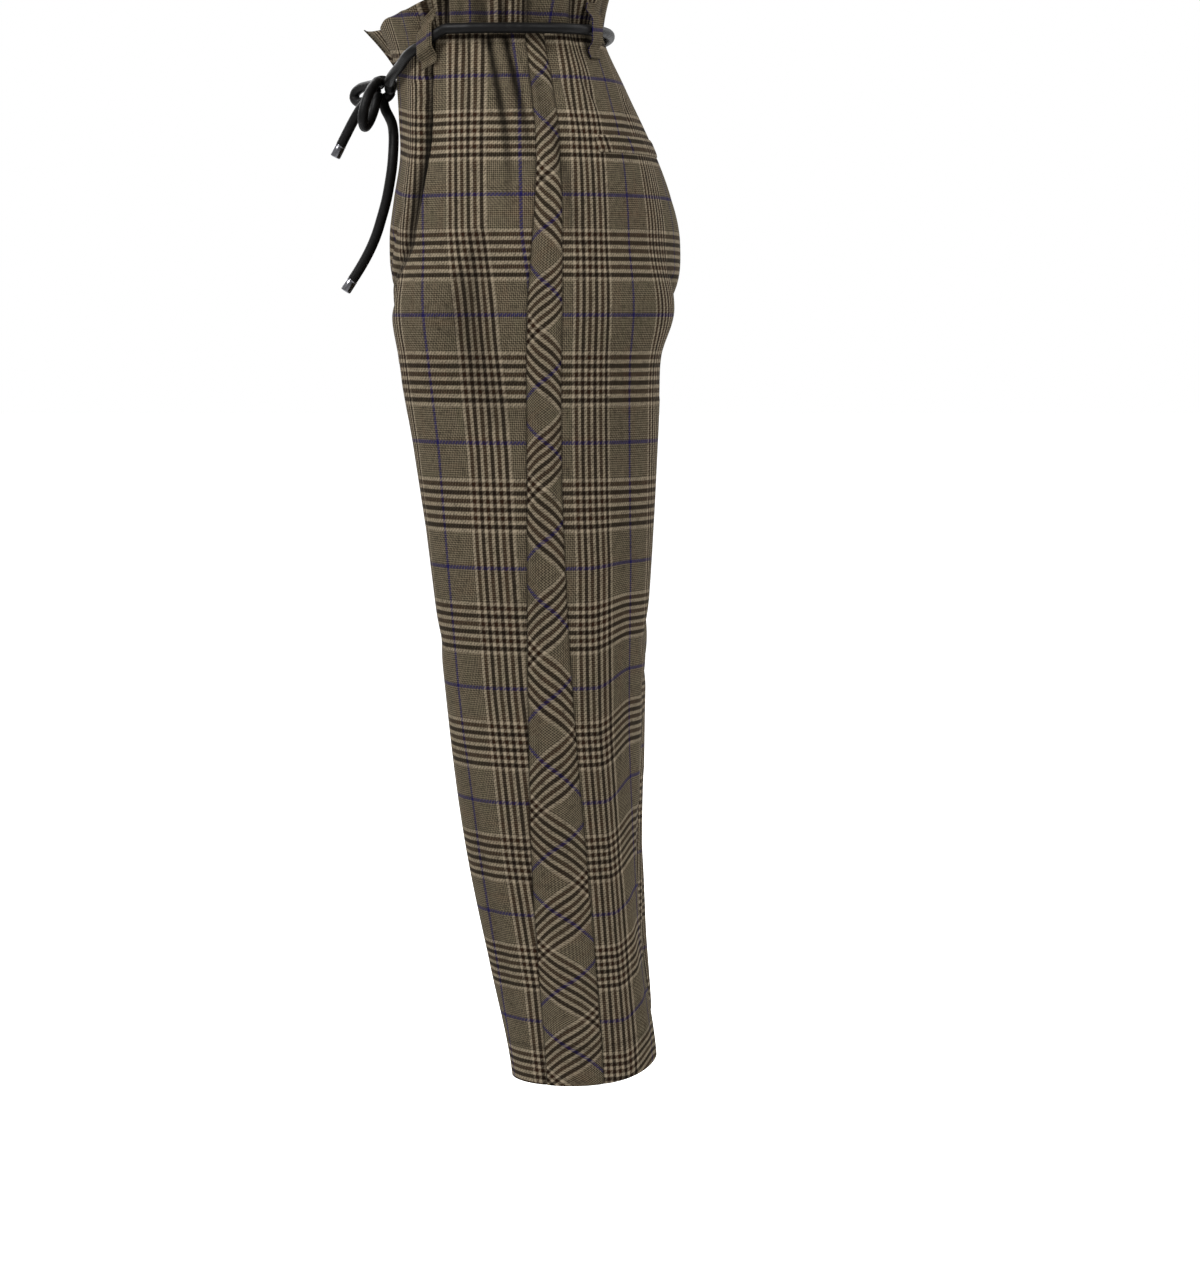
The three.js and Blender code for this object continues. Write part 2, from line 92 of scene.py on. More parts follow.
def bell(value: Array) -> Array:
    """Give a bell curve of height 1: e to the power of minus the square."""
    return np.exp(-np.square(value))


def signed_power(value: Array, power: float) -> Array:
    """Raise the size of a value to a power and keep its sign."""
    return np.sign(value) * np.abs(value) ** power


# ---- the worn form -----------------------------------------------------------------------

SECTION_COLUMNS = ("z", "front", "back", "outer", "inner", "strip_front", "strip_back")
# Heights, the y of the foremost and hindmost cloth, the x of the side and of the inside of the
# leg, and the y of the side strip's two seams.
SECTIONS = np.array(
    [
        (0.000, -0.094, 0.097, 0.130, 0.0000, 0.028, 0.047),
        (-0.050, -0.092, 0.119, 0.146, 0.0000, 0.034, 0.054),
        (-0.100, -0.091, 0.143, 0.163, 0.0000, 0.038, 0.060),
        (-0.150, -0.097, 0.162, 0.176, 0.0000, 0.038, 0.062),
        (-0.190, -0.101, 0.170, 0.182, 0.0000, 0.035, 0.062),
        (-0.250, -0.094, 0.165, 0.184, 0.0000, 0.031, 0.062),
        (-0.300, -0.088, 0.152, 0.183, 0.0005, 0.030, 0.061),
        (-0.370, -0.076, 0.148, 0.181, 0.0090, 0.030, 0.061),
        (-0.450, -0.064, 0.144, 0.178, 0.0150, 0.030, 0.063),
        (-0.550, -0.052, 0.138, 0.174, 0.0210, 0.030, 0.068),
        (-0.650, -0.040, 0.133, 0.169, 0.0270, 0.031, 0.075),
        (-0.750, -0.025, 0.132, 0.163, 0.0330, 0.033, 0.084),
        (-0.850, -0.006, 0.136, 0.159, 0.0390, 0.039, 0.092),
        (-0.960, 0.014, 0.148, 0.156, 0.0450, 0.046, 0.099),
    ]
)


def section(name: str, z: Array) -> Array:
    """Read one column of the sections with a Catmull-Rom curve through its rows.

    Args:
        name: The column.
        z: Heights.

    Returns:
        The column's value at each height.
    """
    values = SECTIONS[:, SECTION_COLUMNS.index(name)]
    heights = SECTIONS[:, 0]
    last = len(heights) - 1
    row = np.clip(np.searchsorted(-heights, -np.asarray(z), side="right") - 1, 0, last - 1)
    share = clamp01((z - heights[row]) / (heights[row + 1] - heights[row]))
    before, here = values[np.maximum(row - 1, 0)], values[row]
    after, beyond = values[row + 1], values[np.minimum(row + 2, last)]
    cubic = 3 * (here - after) + beyond - before
    square = 2 * before - 5 * here + 4 * after - beyond
    return here + 0.5 * share * (after - before + share * (square + share * cubic))


@dataclass(frozen=True)
class Fold:
    """A pleat or a long fold that hangs down the cloth.

    It follows a line from turn_top at the height top to turn_end at the height end, and a leave
    under 1 takes the line away from its top sooner. The cloth goes in by depth there (a negative
    depth stands out), over a half width of ahead towards the front and behind towards the back,
    and a lip of cloth stands over its back edge. Dark says how much painted shade goes into the
    cloth's colour in the cleft under the lip, for the light that the lip keeps out, and dark_width
    how far ahead of the lip that painted shade reaches, as a turn.
    """

    turn_top: float
    turn_end: float
    top: float
    end: float
    depth: float
    ahead: float
    behind: float
    lip: float = 0.0
    dark: float = 0.0
    dark_width: float = 0.0055
    leave: float = 0.7

    def way_down(self, z: Array) -> Array:
        """Give the share of the fold's length that lies above a height."""
        return clamp01((self.top - z) / (self.top - self.end))

    def line(self, z: Array) -> Array:
        """Give the fold's turn at a height: it leaves its top quickly and then hangs."""
        return mix(self.turn_top, self.turn_end, self.way_down(z) ** self.leave)

    def inwards(self, turn: Array, z: Array) -> Array:
        """Work out how far the cloth goes in: a bell across the line, fading along it.

        A fold from the waist is deepest at its top. One that starts lower down is deepest in
        its middle.

        Args:
            turn: Places round the half.
            z: Their heights.

        Returns:
            The depth at each place.
        """
        down = self.way_down(z)
        across = turn - self.line(z)
        width = np.where(across < 0, self.ahead, self.behind) * (1 + down)
        if self.top > 0:
            fade = 1 - smooth(down)
        else:
            fade = bell((down - 0.5) * 3.2) * ((z <= self.top) & (z >= self.end))
        ridge = self.lip * bell((across / self.behind - 2.1) / 1.1)
        return fade * (self.depth * bell(across / width) - ridge)

    def cleft(self, turn: Array, z: Array) -> Array:
        """Work out the painted shade in the cleft: full at the lip, and fading ahead of it.

        Args:
            turn: Places round the half.
            z: Their heights.

        Returns:
            The painted shade at each place, from 0 to 1.
        """
        down = self.way_down(z)
        across = turn - self.line(z)
        wide = self.dark_width * (1 + 1.1 * smooth(down * 2))
        ahead = smooth(1.6 + across / (0.85 * wide))
        fade = np.where(across < 0, ahead, bell(across / (0.7 * self.behind)))
        return self.dark * (1 - smooth(1.6 * down - 0.6)) * fade


@dataclass(frozen=True)
class Wrinkle:
    """A short soft crease between two places, each a turn and a height."""

    start: tuple[float, float]
    end: tuple[float, float]
    depth: float
    width: float

    def inwards(self, turn: Array, z: Array) -> Array:
        """Work out how far the cloth goes in: a bell of the distance from the line.

        Args:
            turn: Places round the half.
            z: Their heights.

        Returns:
            The depth at each place.
        """
        scale = np.array([TURN_LENGTH, 1.0])
        start, end = np.array(self.start) * scale, np.array(self.end) * scale
        place = np.stack([turn * TURN_LENGTH, z + 0 * turn], axis=-1)
        run = end - start
        along = clamp01((place - start) @ run / (run @ run))
        off = np.linalg.norm(place - start - along[..., None] * run, axis=-1)
        fade = np.sqrt(np.clip(4 * along * (1 - along), 0.0, 1.0))
        return WRINKLE_STRENGTH * self.depth * fade * bell(off / self.width)


TURN_LENGTH = 0.52  # cloth round one half, for measuring creases
WRINKLE_STRENGTH = 1.35  # on all the depths of the wrinkles together

DEEP_PLEAT = Fold(
    0.362, 0.175, 0.020, -0.330, 0.0100, 0.022, 0.007, lip=0.0028, dark=0.96, dark_width=0.0165, leave=0.56
)
FOLDS = (
    DEEP_PLEAT,
    Fold(0.285, 0.105, 0.020, -0.300, -0.0040, 0.040, 0.040),
    # the small pleats beside the side seam
    Fold(0.490, 0.466, 0.020, -0.190, 0.0065, 0.015, 0.008, lip=0.0018, dark=0.88),
    Fold(0.524, 0.508, 0.020, -0.150, 0.0060, 0.012, 0.007, lip=0.0016, dark=0.90),
    Fold(0.430, 0.380, 0.020, -0.130, 0.0030, 0.014, 0.010, lip=0.0006, dark=0.25),
    # soft folds of the back
    Fold(0.620, 0.640, 0.020, -0.240, 0.0060, 0.028, 0.028),
    Fold(0.760, 0.740, 0.020, -0.100, 0.0040, 0.024, 0.024),
    Fold(0.900, 0.760, -0.190, -0.330, 0.0060, 0.040, 0.040),
    # long soft folds of the leg
    Fold(0.660, 0.680, -0.420, -0.960, 0.0030, 0.040, 0.040),
    Fold(0.180, 0.240, -0.480, -0.960, -0.0040, 0.040, 0.040),
)
WRINKLES = (
    # drag lines from the fork over the front of the thigh
    Wrinkle((0.04, -0.235), (0.17, -0.150), 0.0022, 0.0060),
    Wrinkle((0.05, -0.262), (0.21, -0.195), 0.0028, 0.0070),
    Wrinkle((0.08, -0.285), (0.25, -0.240), 0.0024, 0.0080),
    Wrinkle((0.10, -0.320), (0.27, -0.300), 0.0018, 0.0090),
    Wrinkle((0.24, -0.060), (0.20, -0.200), 0.0018, 0.0050),
    Wrinkle((0.30, -0.030), (0.26, -0.110), 0.0016, 0.0045),
    # hip and side
    # This wrinkle is a real fold, and its painted shade also stands in for the shadow of the wearer's arm
    # on the hip.
    Wrinkle((0.40, -0.180), (0.46, -0.360), 0.0040, 0.0140),
    Wrinkle((0.44, -0.040), (0.40, -0.150), 0.0012, 0.0050),
    Wrinkle((0.56, -0.030), (0.585, -0.200), 0.0030, 0.0080),
    Wrinkle((0.62, -0.020), (0.63, -0.110), -0.0016, 0.0060),
    # below the seat
    Wrinkle((0.97, -0.250), (0.80, -0.215), 0.0034, 0.0080),
    Wrinkle((0.98, -0.285), (0.82, -0.300), 0.0030, 0.0090),
    Wrinkle((0.95, -0.330), (0.78, -0.370), 0.0024, 0.0120),
    Wrinkle((0.88, -0.060), (0.80, -0.090), 0.0012, 0.0060),
    Wrinkle((0.70, -0.040), (0.74, -0.090), 0.0012, 0.0060),
    # knee and shin
    Wrinkle((0.70, -0.560), (0.86, -0.500), 0.0022, 0.0130),
    Wrinkle((0.72, -0.600), (0.90, -0.580), 0.0020, 0.0120),
    Wrinkle((0.12, -0.520), (0.30, -0.560), 0.0016, 0.0140),
    Wrinkle((0.74, -0.700), (0.80, -0.940), 0.0030, 0.0130),
    Wrinkle((0.66, -0.760), (0.68, -0.940), -0.0016, 0.0110),
    Wrinkle((0.33, -0.640), (0.36, -0.930), 0.0014, 0.0120),
    Wrinkle((0.90, -0.640), (0.93, -0.930), 0.0028, 0.0130),
)


@dataclass(frozen=True)
class Form:
    """The shape that the cloth has when it is worn."""

    rise_top: float = -0.185
    crotch: float = -0.297
    hem: float = -0.956
    hip_squareness: float = 2.3
    leg_squareness: float = 2.15
    front_dip: float = 0.033
    dip_end: float = 0.37
    back_lift: float = 0.004
    hem_back_lift: float = 0.019
    blend_bulge: float = 0.12
    right_set_back: float = 0.007
    seam_gap: float = 0.000006
    fold_fade: float = 4.0  # one over the turn in which folds fade out at the centre seams
    crease_fade: float = 25.0
    # Painted shade: how much the colour darkens for each metre that a wrinkle goes in.
    crease_painted_shade: float = 80.0  # darkness for each metre that a wrinkle goes in

    def height(self, level: Array) -> Array:
        """Turn a level into a height: three straight stretches."""
        heights = (0.0, self.rise_top, self.crotch, self.hem)
        return np.interp(level, (0.0, 1.0, 2.0, 3.0), heights)

    def level(self, z: Array) -> Array:
        """Turn a height into a level."""
        depths = (0.0, -self.rise_top, -self.crotch, -self.hem)
        return np.interp(-np.asarray(z), depths, (0.0, 1.0, 2.0, 3.0))

    def ring(self, turn: Array, level: Array) -> Array:
        """Place the cloth without its folds.

        A rounded rectangle (a superellipse) of the body turns into one of the leg between the
        top of the rise and the fork. At the centre seams it does so along a quarter circle.

        Args:
            turn: Places round the half.
            level: Places down it.

        Returns:
            Points, with a last axis of x, y and z.
        """
        turn, level = np.broadcast_arrays(np.asarray(turn, float), np.asarray(level, float))
        z = self.height(level)
        step = clamp01(level - 1)
        edge = np.abs(2 * turn - 1)
        quarter = step * math.pi / 2
        blend = mix(smooth(step), 1 - np.cos(quarter), edge**2)
        even = smooth(step)
        deepen = 1 + self.blend_bulge * 4 * even * (1 - even)
        front, back = section("front", z), section("back", z)
        outer, inner = section("outer", z), np.maximum(0, section("inner", z))
        middle, reach = (front + back) / 2, (back - front) / 2 * deepen
        power = 2 / self.hip_squareness
        body_x = outer * signed_power(np.sin(math.pi * turn), power)
        body_y = middle - reach * signed_power(np.cos(math.pi * turn), power)
        power = 2 / self.leg_squareness
        half = (outer - inner) / 2
        leg_x = (inner + outer) / 2 - half * signed_power(np.cos(2 * math.pi * turn), power)
        leg_y = middle - reach * signed_power(np.sin(2 * math.pi * turn), power)
        inside = (step > 0) & (step < 1)
        curve = (self.rise_top - self.crotch) * (step - np.sin(quarter)) * edge**6
        waist = clamp01(1 + z / 0.150)
        dip = self.front_dip * waist * np.maximum(0, 1 - (turn / self.dip_end) ** 2.2)
        lift = self.back_lift * waist * smooth((turn - 0.5) / 0.5)
        ankle = clamp01((-0.820 - z) / 0.140) * bell((turn - 0.77) / 0.16)
        height = z + inside * curve - dip + lift + self.hem_back_lift * ankle
        points = [mix(body_x, leg_x, blend), mix(body_y, leg_y, blend), height]
        return np.stack(points, axis=-1)

    def outwards(self, turn: Array, level: Array) -> Array:
        """Find the level direction away from the hollow, square to the ring.

        Args:
            turn: Places round the half.
            level: Places down it.

        Returns:
            A direction of length 1 for each place.
        """
        small = 1e-3
        before = self.ring(np.maximum(0, np.asarray(turn) - small), level)
        after = self.ring(np.minimum(1, np.asarray(turn) + small), level)
        run = after - before
        flat = np.stack([run[..., 1], -run[..., 0], 0 * run[..., 0]], axis=-1)
        return flat / np.linalg.norm(flat, axis=-1, keepdims=True)

    def inwards(self, turn: Array, z: Array) -> Array:
        """Add up all folds and wrinkles, fading towards the centre seams and the inseam.

        Args:
            turn: Places round the half.
            z: Their heights.

        Returns:
            How far the cloth goes in at each place.
        """
        depth = sum(fold.inwards(turn, z) for fold in FOLDS)
        fading = smooth(self.fold_fade * turn) * smooth(self.fold_fade * (1 - turn))
        creases = sum(wrinkle.inwards(turn, z) for wrinkle in WRINKLES)
        creases = creases * smooth(self.crease_fade * turn) * smooth(self.crease_fade * (1 - turn))
        return depth * fading + creases

    def cleft(self, turn: Array, z: Array) -> Array:
        """Work out the painted shade in the clefts of the folds and the beds of the wrinkles.

        Args:
            turn: Places round the half.
            z: Their heights.

        Returns:
            The darkness at each place, from 0 to 1.
        """
        lit = 1.0
        for fold in FOLDS:
            lit = lit * (1 - fold.cleft(turn, z))
        for wrinkle in WRINKLES:
            lit = lit * (1 - clamp01(self.crease_painted_shade * wrinkle.inwards(turn, z)))
        return 1 - lit

    def cloth(self, turn: Array, level: Array) -> Array:
        """Place the cloth with its folds: the ring, moved inwards.

        Args:
            turn: Places round the half.
            level: Places down it.

        Returns:
            Points of the left half.
        """
        turn, level = np.broadcast_arrays(np.asarray(turn, float), np.asarray(level, float))
        depth = self.inwards(turn, self.height(level))
        points = self.ring(turn, level) - depth[..., None] * self.outwards(turn, level)
        points[..., 0] += self.seam_gap / 2
        return points

    def turn_at(self, y: Array, level: Array, low: float = 0.22, high: float = 0.82) -> Array:
        """Find the turn on the outside where the cloth has a given y, by halving.

        Args:
            y: The y to find.
            level: The place down the cloth of each.
            low: A turn that lies ahead of it.
            high: A turn that lies behind it.

        Returns:
            The turns.
        """
        y, level = np.broadcast_arrays(np.asarray(y, float), np.asarray(level, float))
        low, high = np.full(y.shape, low), np.full(y.shape, high)
        for _ in range(24):
            middle = (low + high) / 2
            ahead = self.ring(middle, level)[..., 1] < y
            low, high = np.where(ahead, middle, low), np.where(ahead, high, middle)
        return (low + high) / 2

    def strip_seam(self, name: str, level: Array) -> Array:
        """Give the turn of one of the side strip's seams."""
        return self.turn_at(section(name, self.height(level)), level, 0.28)

    def mirrored(self, points: Array, side: Side) -> Array:
        """Take points of the left half to a side: the right shin stands a little further back.

        Args:
            points: Points of the left half.
            side: The half that they are for.

        Returns:
            The points of that half.
        """
        if side is Side.LEFT:
            return points
        z = points[..., 2]
        set_back = below(z, -0.400, 0.300) * (1 - 1.3 * below(z, -0.800, 0.160))
        moved = points * np.array([-1.0, 1.0, 1.0])
        moved[..., 1] += self.right_set_back * set_back
        return moved


FORM = Form()


# ---- meshes ------------------------------------------------------------------------------


def unit(vectors: Array) -> Array:
    """Scale vectors to length 1."""
    return vectors / np.maximum(np.linalg.norm(vectors, axis=-1, keepdims=True), 1e-12)


def grid_normals(points: Array) -> Array:
    """Give a grid's normals: the way down it crossed with the way across it."""
    return unit(np.cross(np.gradient(points, axis=0), np.gradient(points, axis=1)))


def make_object(name: str, points: Array, faces: Array, uv: Array | None = None) -> bpy.types.Object:
    """Put points and quads into a new smooth mesh.

    Args:
        name: The piece's name.
        points: Vertices, one a row.
        faces: Four vertex numbers a row.
        uv: A pair for each vertex, or None.

    Returns:
        The object, linked to the scene.
    """
    mesh = bpy.data.meshes.new(name)
    mesh.from_pydata(points.reshape(-1, 3).tolist(), [], faces.tolist())
    if uv is not None:
        layer = mesh.uv_layers.new(name="cloth")
        layer.data.foreach_set("uv", uv.reshape(-1, 2)[faces.ravel()].astype(np.float32).ravel())
    mesh.polygons.foreach_set("use_smooth", np.ones(len(faces), bool))
    mesh.update()
    piece = bpy.data.objects.new(name, mesh)
    bpy.context.scene.collection.objects.link(piece)
    return piece


def grid_quads(rows: int, columns: int) -> Array:
    """Number the quads of a grid whose outside is seen with rows going down."""
    corner = (np.arange(rows - 1)[:, None] * columns + np.arange(columns - 1)).ravel()
    return np.stack([corner, corner + columns, corner + columns + 1, corner + 1], axis=1)


def shell(
    name: str, outer: Array, inner: Array, uv: Array, side: Side, cleft: Array | float = 0.0
) -> bpy.types.Object:
    """Close a wall of cloth between an outer and an inner grid.

    Args:
        name: The piece's name.
        outer: Outer grid of points, rows going down and columns going back.
        inner: Inner grid of the same shape.
        uv: Thread coordinates of the grid.
        side: Which half it is for; the right one is mirrored.
        cleft: How much painted shade darkens each point of the grid.

    Returns:
        The closed piece.
    """
    rows, columns = outer.shape[:2]
    size = rows * columns
    front = grid_quads(rows, columns)
    back = front[:, ::-1] + size
    rim = np.concatenate(
        [
            np.arange(columns - 1, 0, -1),
            np.arange(0, (rows - 1) * columns, columns),
            (rows - 1) * columns + np.arange(columns - 1),
            np.arange(rows - 1, 0, -1) * columns + columns - 1,
        ]
    )
    following = np.roll(rim, -1)
    edges = np.stack([following, rim, rim + size, following + size], axis=1)
    faces = np.concatenate([front, back, edges])
    if side is Side.RIGHT:
        faces = faces[:, ::-1]
    points = np.concatenate([outer.reshape(-1, 3), inner.reshape(-1, 3)])
    piece = make_object(name, FORM.mirrored(points, side), faces, np.concatenate([uv, uv]))
    # The painted shade goes into a second map, named cleft, which the cloth's material reads.
    dark = np.broadcast_to(cleft, (rows, columns)).ravel()
    pairs = np.stack([np.concatenate([dark, dark]), np.zeros(2 * size)], axis=1)
    layer = piece.data.uv_layers.new(name="cleft")
    layer.data.foreach_set("uv", pairs[faces.ravel()].astype(np.float32).ravel())
    piece.data.uv_layers.active_index = 0
    return piece


def transported(path: Array) -> tuple[Array, Array, Array]:
    """Carry a frame along a path without twisting it.

    Args:
        path: Points along the path.

    Returns:
        The tangents and the two directions square to them, for each point.
    """
    tangents = unit(np.gradient(path, axis=0))
    start = np.cross(tangents[0], (0.13, 0.21, 0.97))
    normals = [start / np.linalg.norm(start)]
    for tangent in tangents[1:]:
        turned = normals[-1] - tangent * (normals[-1] @ tangent)
        normals.append(turned / np.linalg.norm(turned))
    normals = np.array(normals)
    return tangents, normals, np.cross(tangents, normals)


def spline(points: Array, step: float) -> Array:
    """Run a centripetal curve through chosen points and space it evenly.

    Args:
        points: Points that the curve goes through.
        step: Distance between the points that come back.

    Returns:
        Points along the curve.
    """
    points = np.asarray(points, float)
    padded = np.concatenate([[2 * points[0] - points[1]], points, [2 * points[-1] - points[-2]]])
    knots = np.concatenate([[0], np.cumsum(np.linalg.norm(np.diff(padded, axis=0), axis=1) ** 0.5)])
    place = np.linspace(knots[1], knots[-2], 40 * len(points))
    span = np.clip(np.searchsorted(knots, place, side="right") - 1, 1, len(points) - 1)
    t = [knots[span + shift][:, None] for shift in (-1, 0, 1, 2)]
    p = [padded[span + shift] for shift in (-1, 0, 1, 2)]
    u = place[:, None]

    def between(first: int, last: int, start: Array, end: Array) -> Array:
        """Go from start to end in a straight line from one knot to another."""
        return (t[last] - u) / (t[last] - t[first]) * start + (u - t[first]) / (t[last] - t[first]) * end

    lines = [between(i, i + 1, p[i], p[i + 1]) for i in range(3)]
    bends = [between(i, i + 2, lines[i], lines[i + 1]) for i in range(2)]
    curve = between(1, 2, bends[0], bends[1])
    run = np.concatenate([[0], np.cumsum(np.linalg.norm(np.diff(curve, axis=0), axis=1))])
    even = np.linspace(0, run[-1], max(8, round(run[-1] / step)))
    return np.stack([np.interp(even, run, curve[:, axis]) for axis in range(3)], axis=1)


def swept(name: str, path: Array, radii: Array, sides: int = 20) -> bpy.types.Object:
    """Carry a circle along a path: centre + radius x (normal cos a + binormal sin a).

    Args:
        name: The piece's name.
        path: Ring centres.
        radii: A radius for each ring; a radius of 0 closes an end.
        sides: Corners of each ring.

    Returns:
        The closed tube, with its poles merged and a map of metres round and along.
    """
    _, normals, binormals = transported(path)
    angle = np.linspace(0, 2 * math.pi, sides + 1)
    spoke = np.cos(angle)[:, None] * normals[:, None] + np.sin(angle)[:, None] * binormals[:, None]
    points = path[:, None] + np.asarray(radii)[:, None, None] * spoke
    run = np.concatenate([[0], np.cumsum(np.linalg.norm(np.diff(path, axis=0), axis=1))])
    around = angle[None, :] * np.max(radii) + 0 * run[:, None]
    uv = np.stack([around, run[:, None] + 0 * around], axis=-1)
    piece = make_object(name, points, grid_quads(len(path), sides + 1)[:, ::-1], uv)
    weld(piece)
    return piece


def weld(piece: bpy.types.Object) -> None:
    """Merge doubled vertices and turn all faces outwards.

    Args:
        piece: The piece, whose mesh is changed.
    """
    mesh = bmesh.new()
    mesh.from_mesh(piece.data)
    bmesh.ops.remove_doubles(mesh, verts=mesh.verts, dist=1e-6)
    bmesh.ops.recalc_face_normals(mesh, faces=mesh.faces)
    mesh.to_mesh(piece.data)
    mesh.free()


def rounded_ends(path: Array, radius: float, rings: int = 6, height: float = 0.34) -> tuple[Array, Array]:
    """Close a cord's ends with soft domes of a third of its radius.

    Args:
        path: Points along the cord.
        radius: Its radius.
        rings: Rings of each dome.
        height: Each dome's height, in radii.

    Returns:
        The path with the domes' centres, and a radius for each point.
    """
    angle = np.linspace(0, math.pi / 2, rings)
    bulge = height * radius
    start = unit(path[0] - path[1]) * bulge * np.cos(angle)[:, None] + path[0]
    end = unit(path[-1] - path[-2]) * bulge * np.sin(angle)[:, None] + path[-1]
    whole = np.concatenate([start[:-1], path[:1], path[1:-1], end])
    ring_radii = np.concatenate([np.sin(angle), np.ones(len(path) - 2), np.cos(angle)]) * radius
    return whole, ring_radii


# ---- shader writing ----------------------------------------------------------------------


class Sock:
    """A shader socket that takes part in Python arithmetic."""

    def __init__(self, recipe: "Recipe", socket: bpy.types.NodeSocket) -> None:
        """Wrap a socket of a recipe's material."""
        self.recipe = recipe
        self.socket = socket

    def math(self, operation: str, *others: "Sock | float", clamp: bool = False) -> "Sock":
        """Add a Math node that works on this socket first."""
        return self.recipe.math(operation, self, *others, clamp=clamp)

    def __add__(self, other: "Sock | float") -> "Sock":
        """Add."""
        return self.math("ADD", other)

    __radd__ = __add__

    def __mul__(self, other: "Sock | float") -> "Sock":
        """Multiply."""
        return self.math("MULTIPLY", other)

    __rmul__ = __mul__

    def __sub__(self, other: "Sock | float") -> "Sock":
        """Subtract."""
        return self.math("SUBTRACT", other)

    def __rsub__(self, other: float) -> "Sock":
        """Subtract from a number."""
        return self.recipe.math("SUBTRACT", other, self)

    def __truediv__(self, other: "Sock | float") -> "Sock":
        """Divide."""
        return self.math("DIVIDE", other)

    def held(self) -> "Sock":
        """Keep between 0 and 1."""
        return self.math("ADD", 0.0, clamp=True)

    def sine(self, turns: float = 1.0) -> "Sock":
        """Take the sine of a number of full turns for each unit."""
        return (self * (2 * math.pi * turns)).math("SINE")

    def part(self, number: int) -> "Sock":
        """Take one number out of a vector: 0 for x, 1 for y or 2 for z."""
        return self.recipe.node("ShaderNodeSeparateXYZ", None, {0: self}, number)


class Recipe:
    """A material under construction."""

    def __init__(self, name: str) -> None:
        """Start a material with one Principled shader.

        Args:
            name: The material's name.
        """
        self.material = bpy.data.materials.new(name)
        self.material.use_nodes = True
        self.tree = self.material.node_tree
        self.tree.nodes.clear()
        self.output = self.tree.nodes.new("ShaderNodeOutputMaterial")
        self.shader = self.tree.nodes.new("ShaderNodeBsdfPrincipled")
        self.tree.links.new(self.shader.outputs["BSDF"], self.output.inputs["Surface"])

    def node(
        self,
        kind: str,
        settings: dict[str, object] | None = None,
        inputs: dict[str | int, object] | None = None,
        output: str | int = 0,
    ) -> Sock:
        """Add a node.

        Args:
            kind: The node's type.
            settings: Its properties, set first.
            inputs: Values or links of its sockets, by name or number.
            output: The output to hand back.

        Returns:
            That output.
        """
        node = self.tree.nodes.new(kind)
        for key, value in (settings or {}).items():
            setattr(node, key, value)
        for key, value in (inputs or {}).items():
            self.feed(node.inputs[key], value)
        return Sock(self, node.outputs[output])

    def feed(self, socket: bpy.types.NodeSocket, value: object) -> None:
        """Link a socket, or set its number or colour.

        Args:
            socket: The socket that takes the value.
            value: Another socket, a number or a colour.
        """
        if isinstance(value, Sock):
            self.tree.links.new(value.socket, socket)
        else:
            socket.default_value = value

    def math(self, operation: str, *values: Sock | float, clamp: bool = False) -> Sock:
        """Add a Math node on sockets and numbers."""
        settings = {"operation": operation, "use_clamp": clamp}
        return self.node("ShaderNodeMath", settings, dict(enumerate(values)))

    def blend(self, share: Sock, start: object, end: object) -> Sock:
        """Mix two colours.

        Args:
            share: The second colour's share.
            start: The first colour, a link or red, green and blue.
            end: The second colour, the same way.

        Returns:
            The mixed colour.
        """
        colours = [c if isinstance(c, Sock) else (*c, 1.0) for c in (start, end)]
        settings = {"data_type": "RGBA"}
        return self.node("ShaderNodeMix", settings, {0: share, 6: colours[0], 7: colours[1]}, 2)

    def noise(self, vector: Sock, scale: float, detail: float = 2.0) -> Sock:
        """Add a noise pattern on a vector."""
        inputs = {"Vector": vector, "Scale": scale, "Detail": detail}
        return self.node("ShaderNodeTexNoise", None, inputs)

    def place(self) -> Sock:
        """Give the place of each point, in metres."""
        return self.node("ShaderNodeTexCoord", None, None, "Object")

    def map(self, name: str) -> Sock:
        """Read one of the piece's maps."""
        return self.node("ShaderNodeUVMap", {"uv_map": name})

    def vector(self, x: Sock | float, y: Sock | float, z: Sock | float = 0.0) -> Sock:
        """Join three numbers to a vector."""
        return self.node("ShaderNodeCombineXYZ", None, {0: x, 1: y, 2: z})

    def surface(self, **values: object) -> None:
        """Set the shader's sockets; an underscore stands for a space."""
        for key, value in values.items():
            self.feed(self.shader.inputs[key.replace("_", " ")], value)

    def bump(self, height: Sock, strength: float, distance: float) -> None:
        """Raise the surface by a height pattern."""
        inputs = {"Height": height, "Strength": strength, "Distance": distance}
        self.surface(Normal=self.node("ShaderNodeBump", None, inputs))


Colour = tuple[float, float, float]


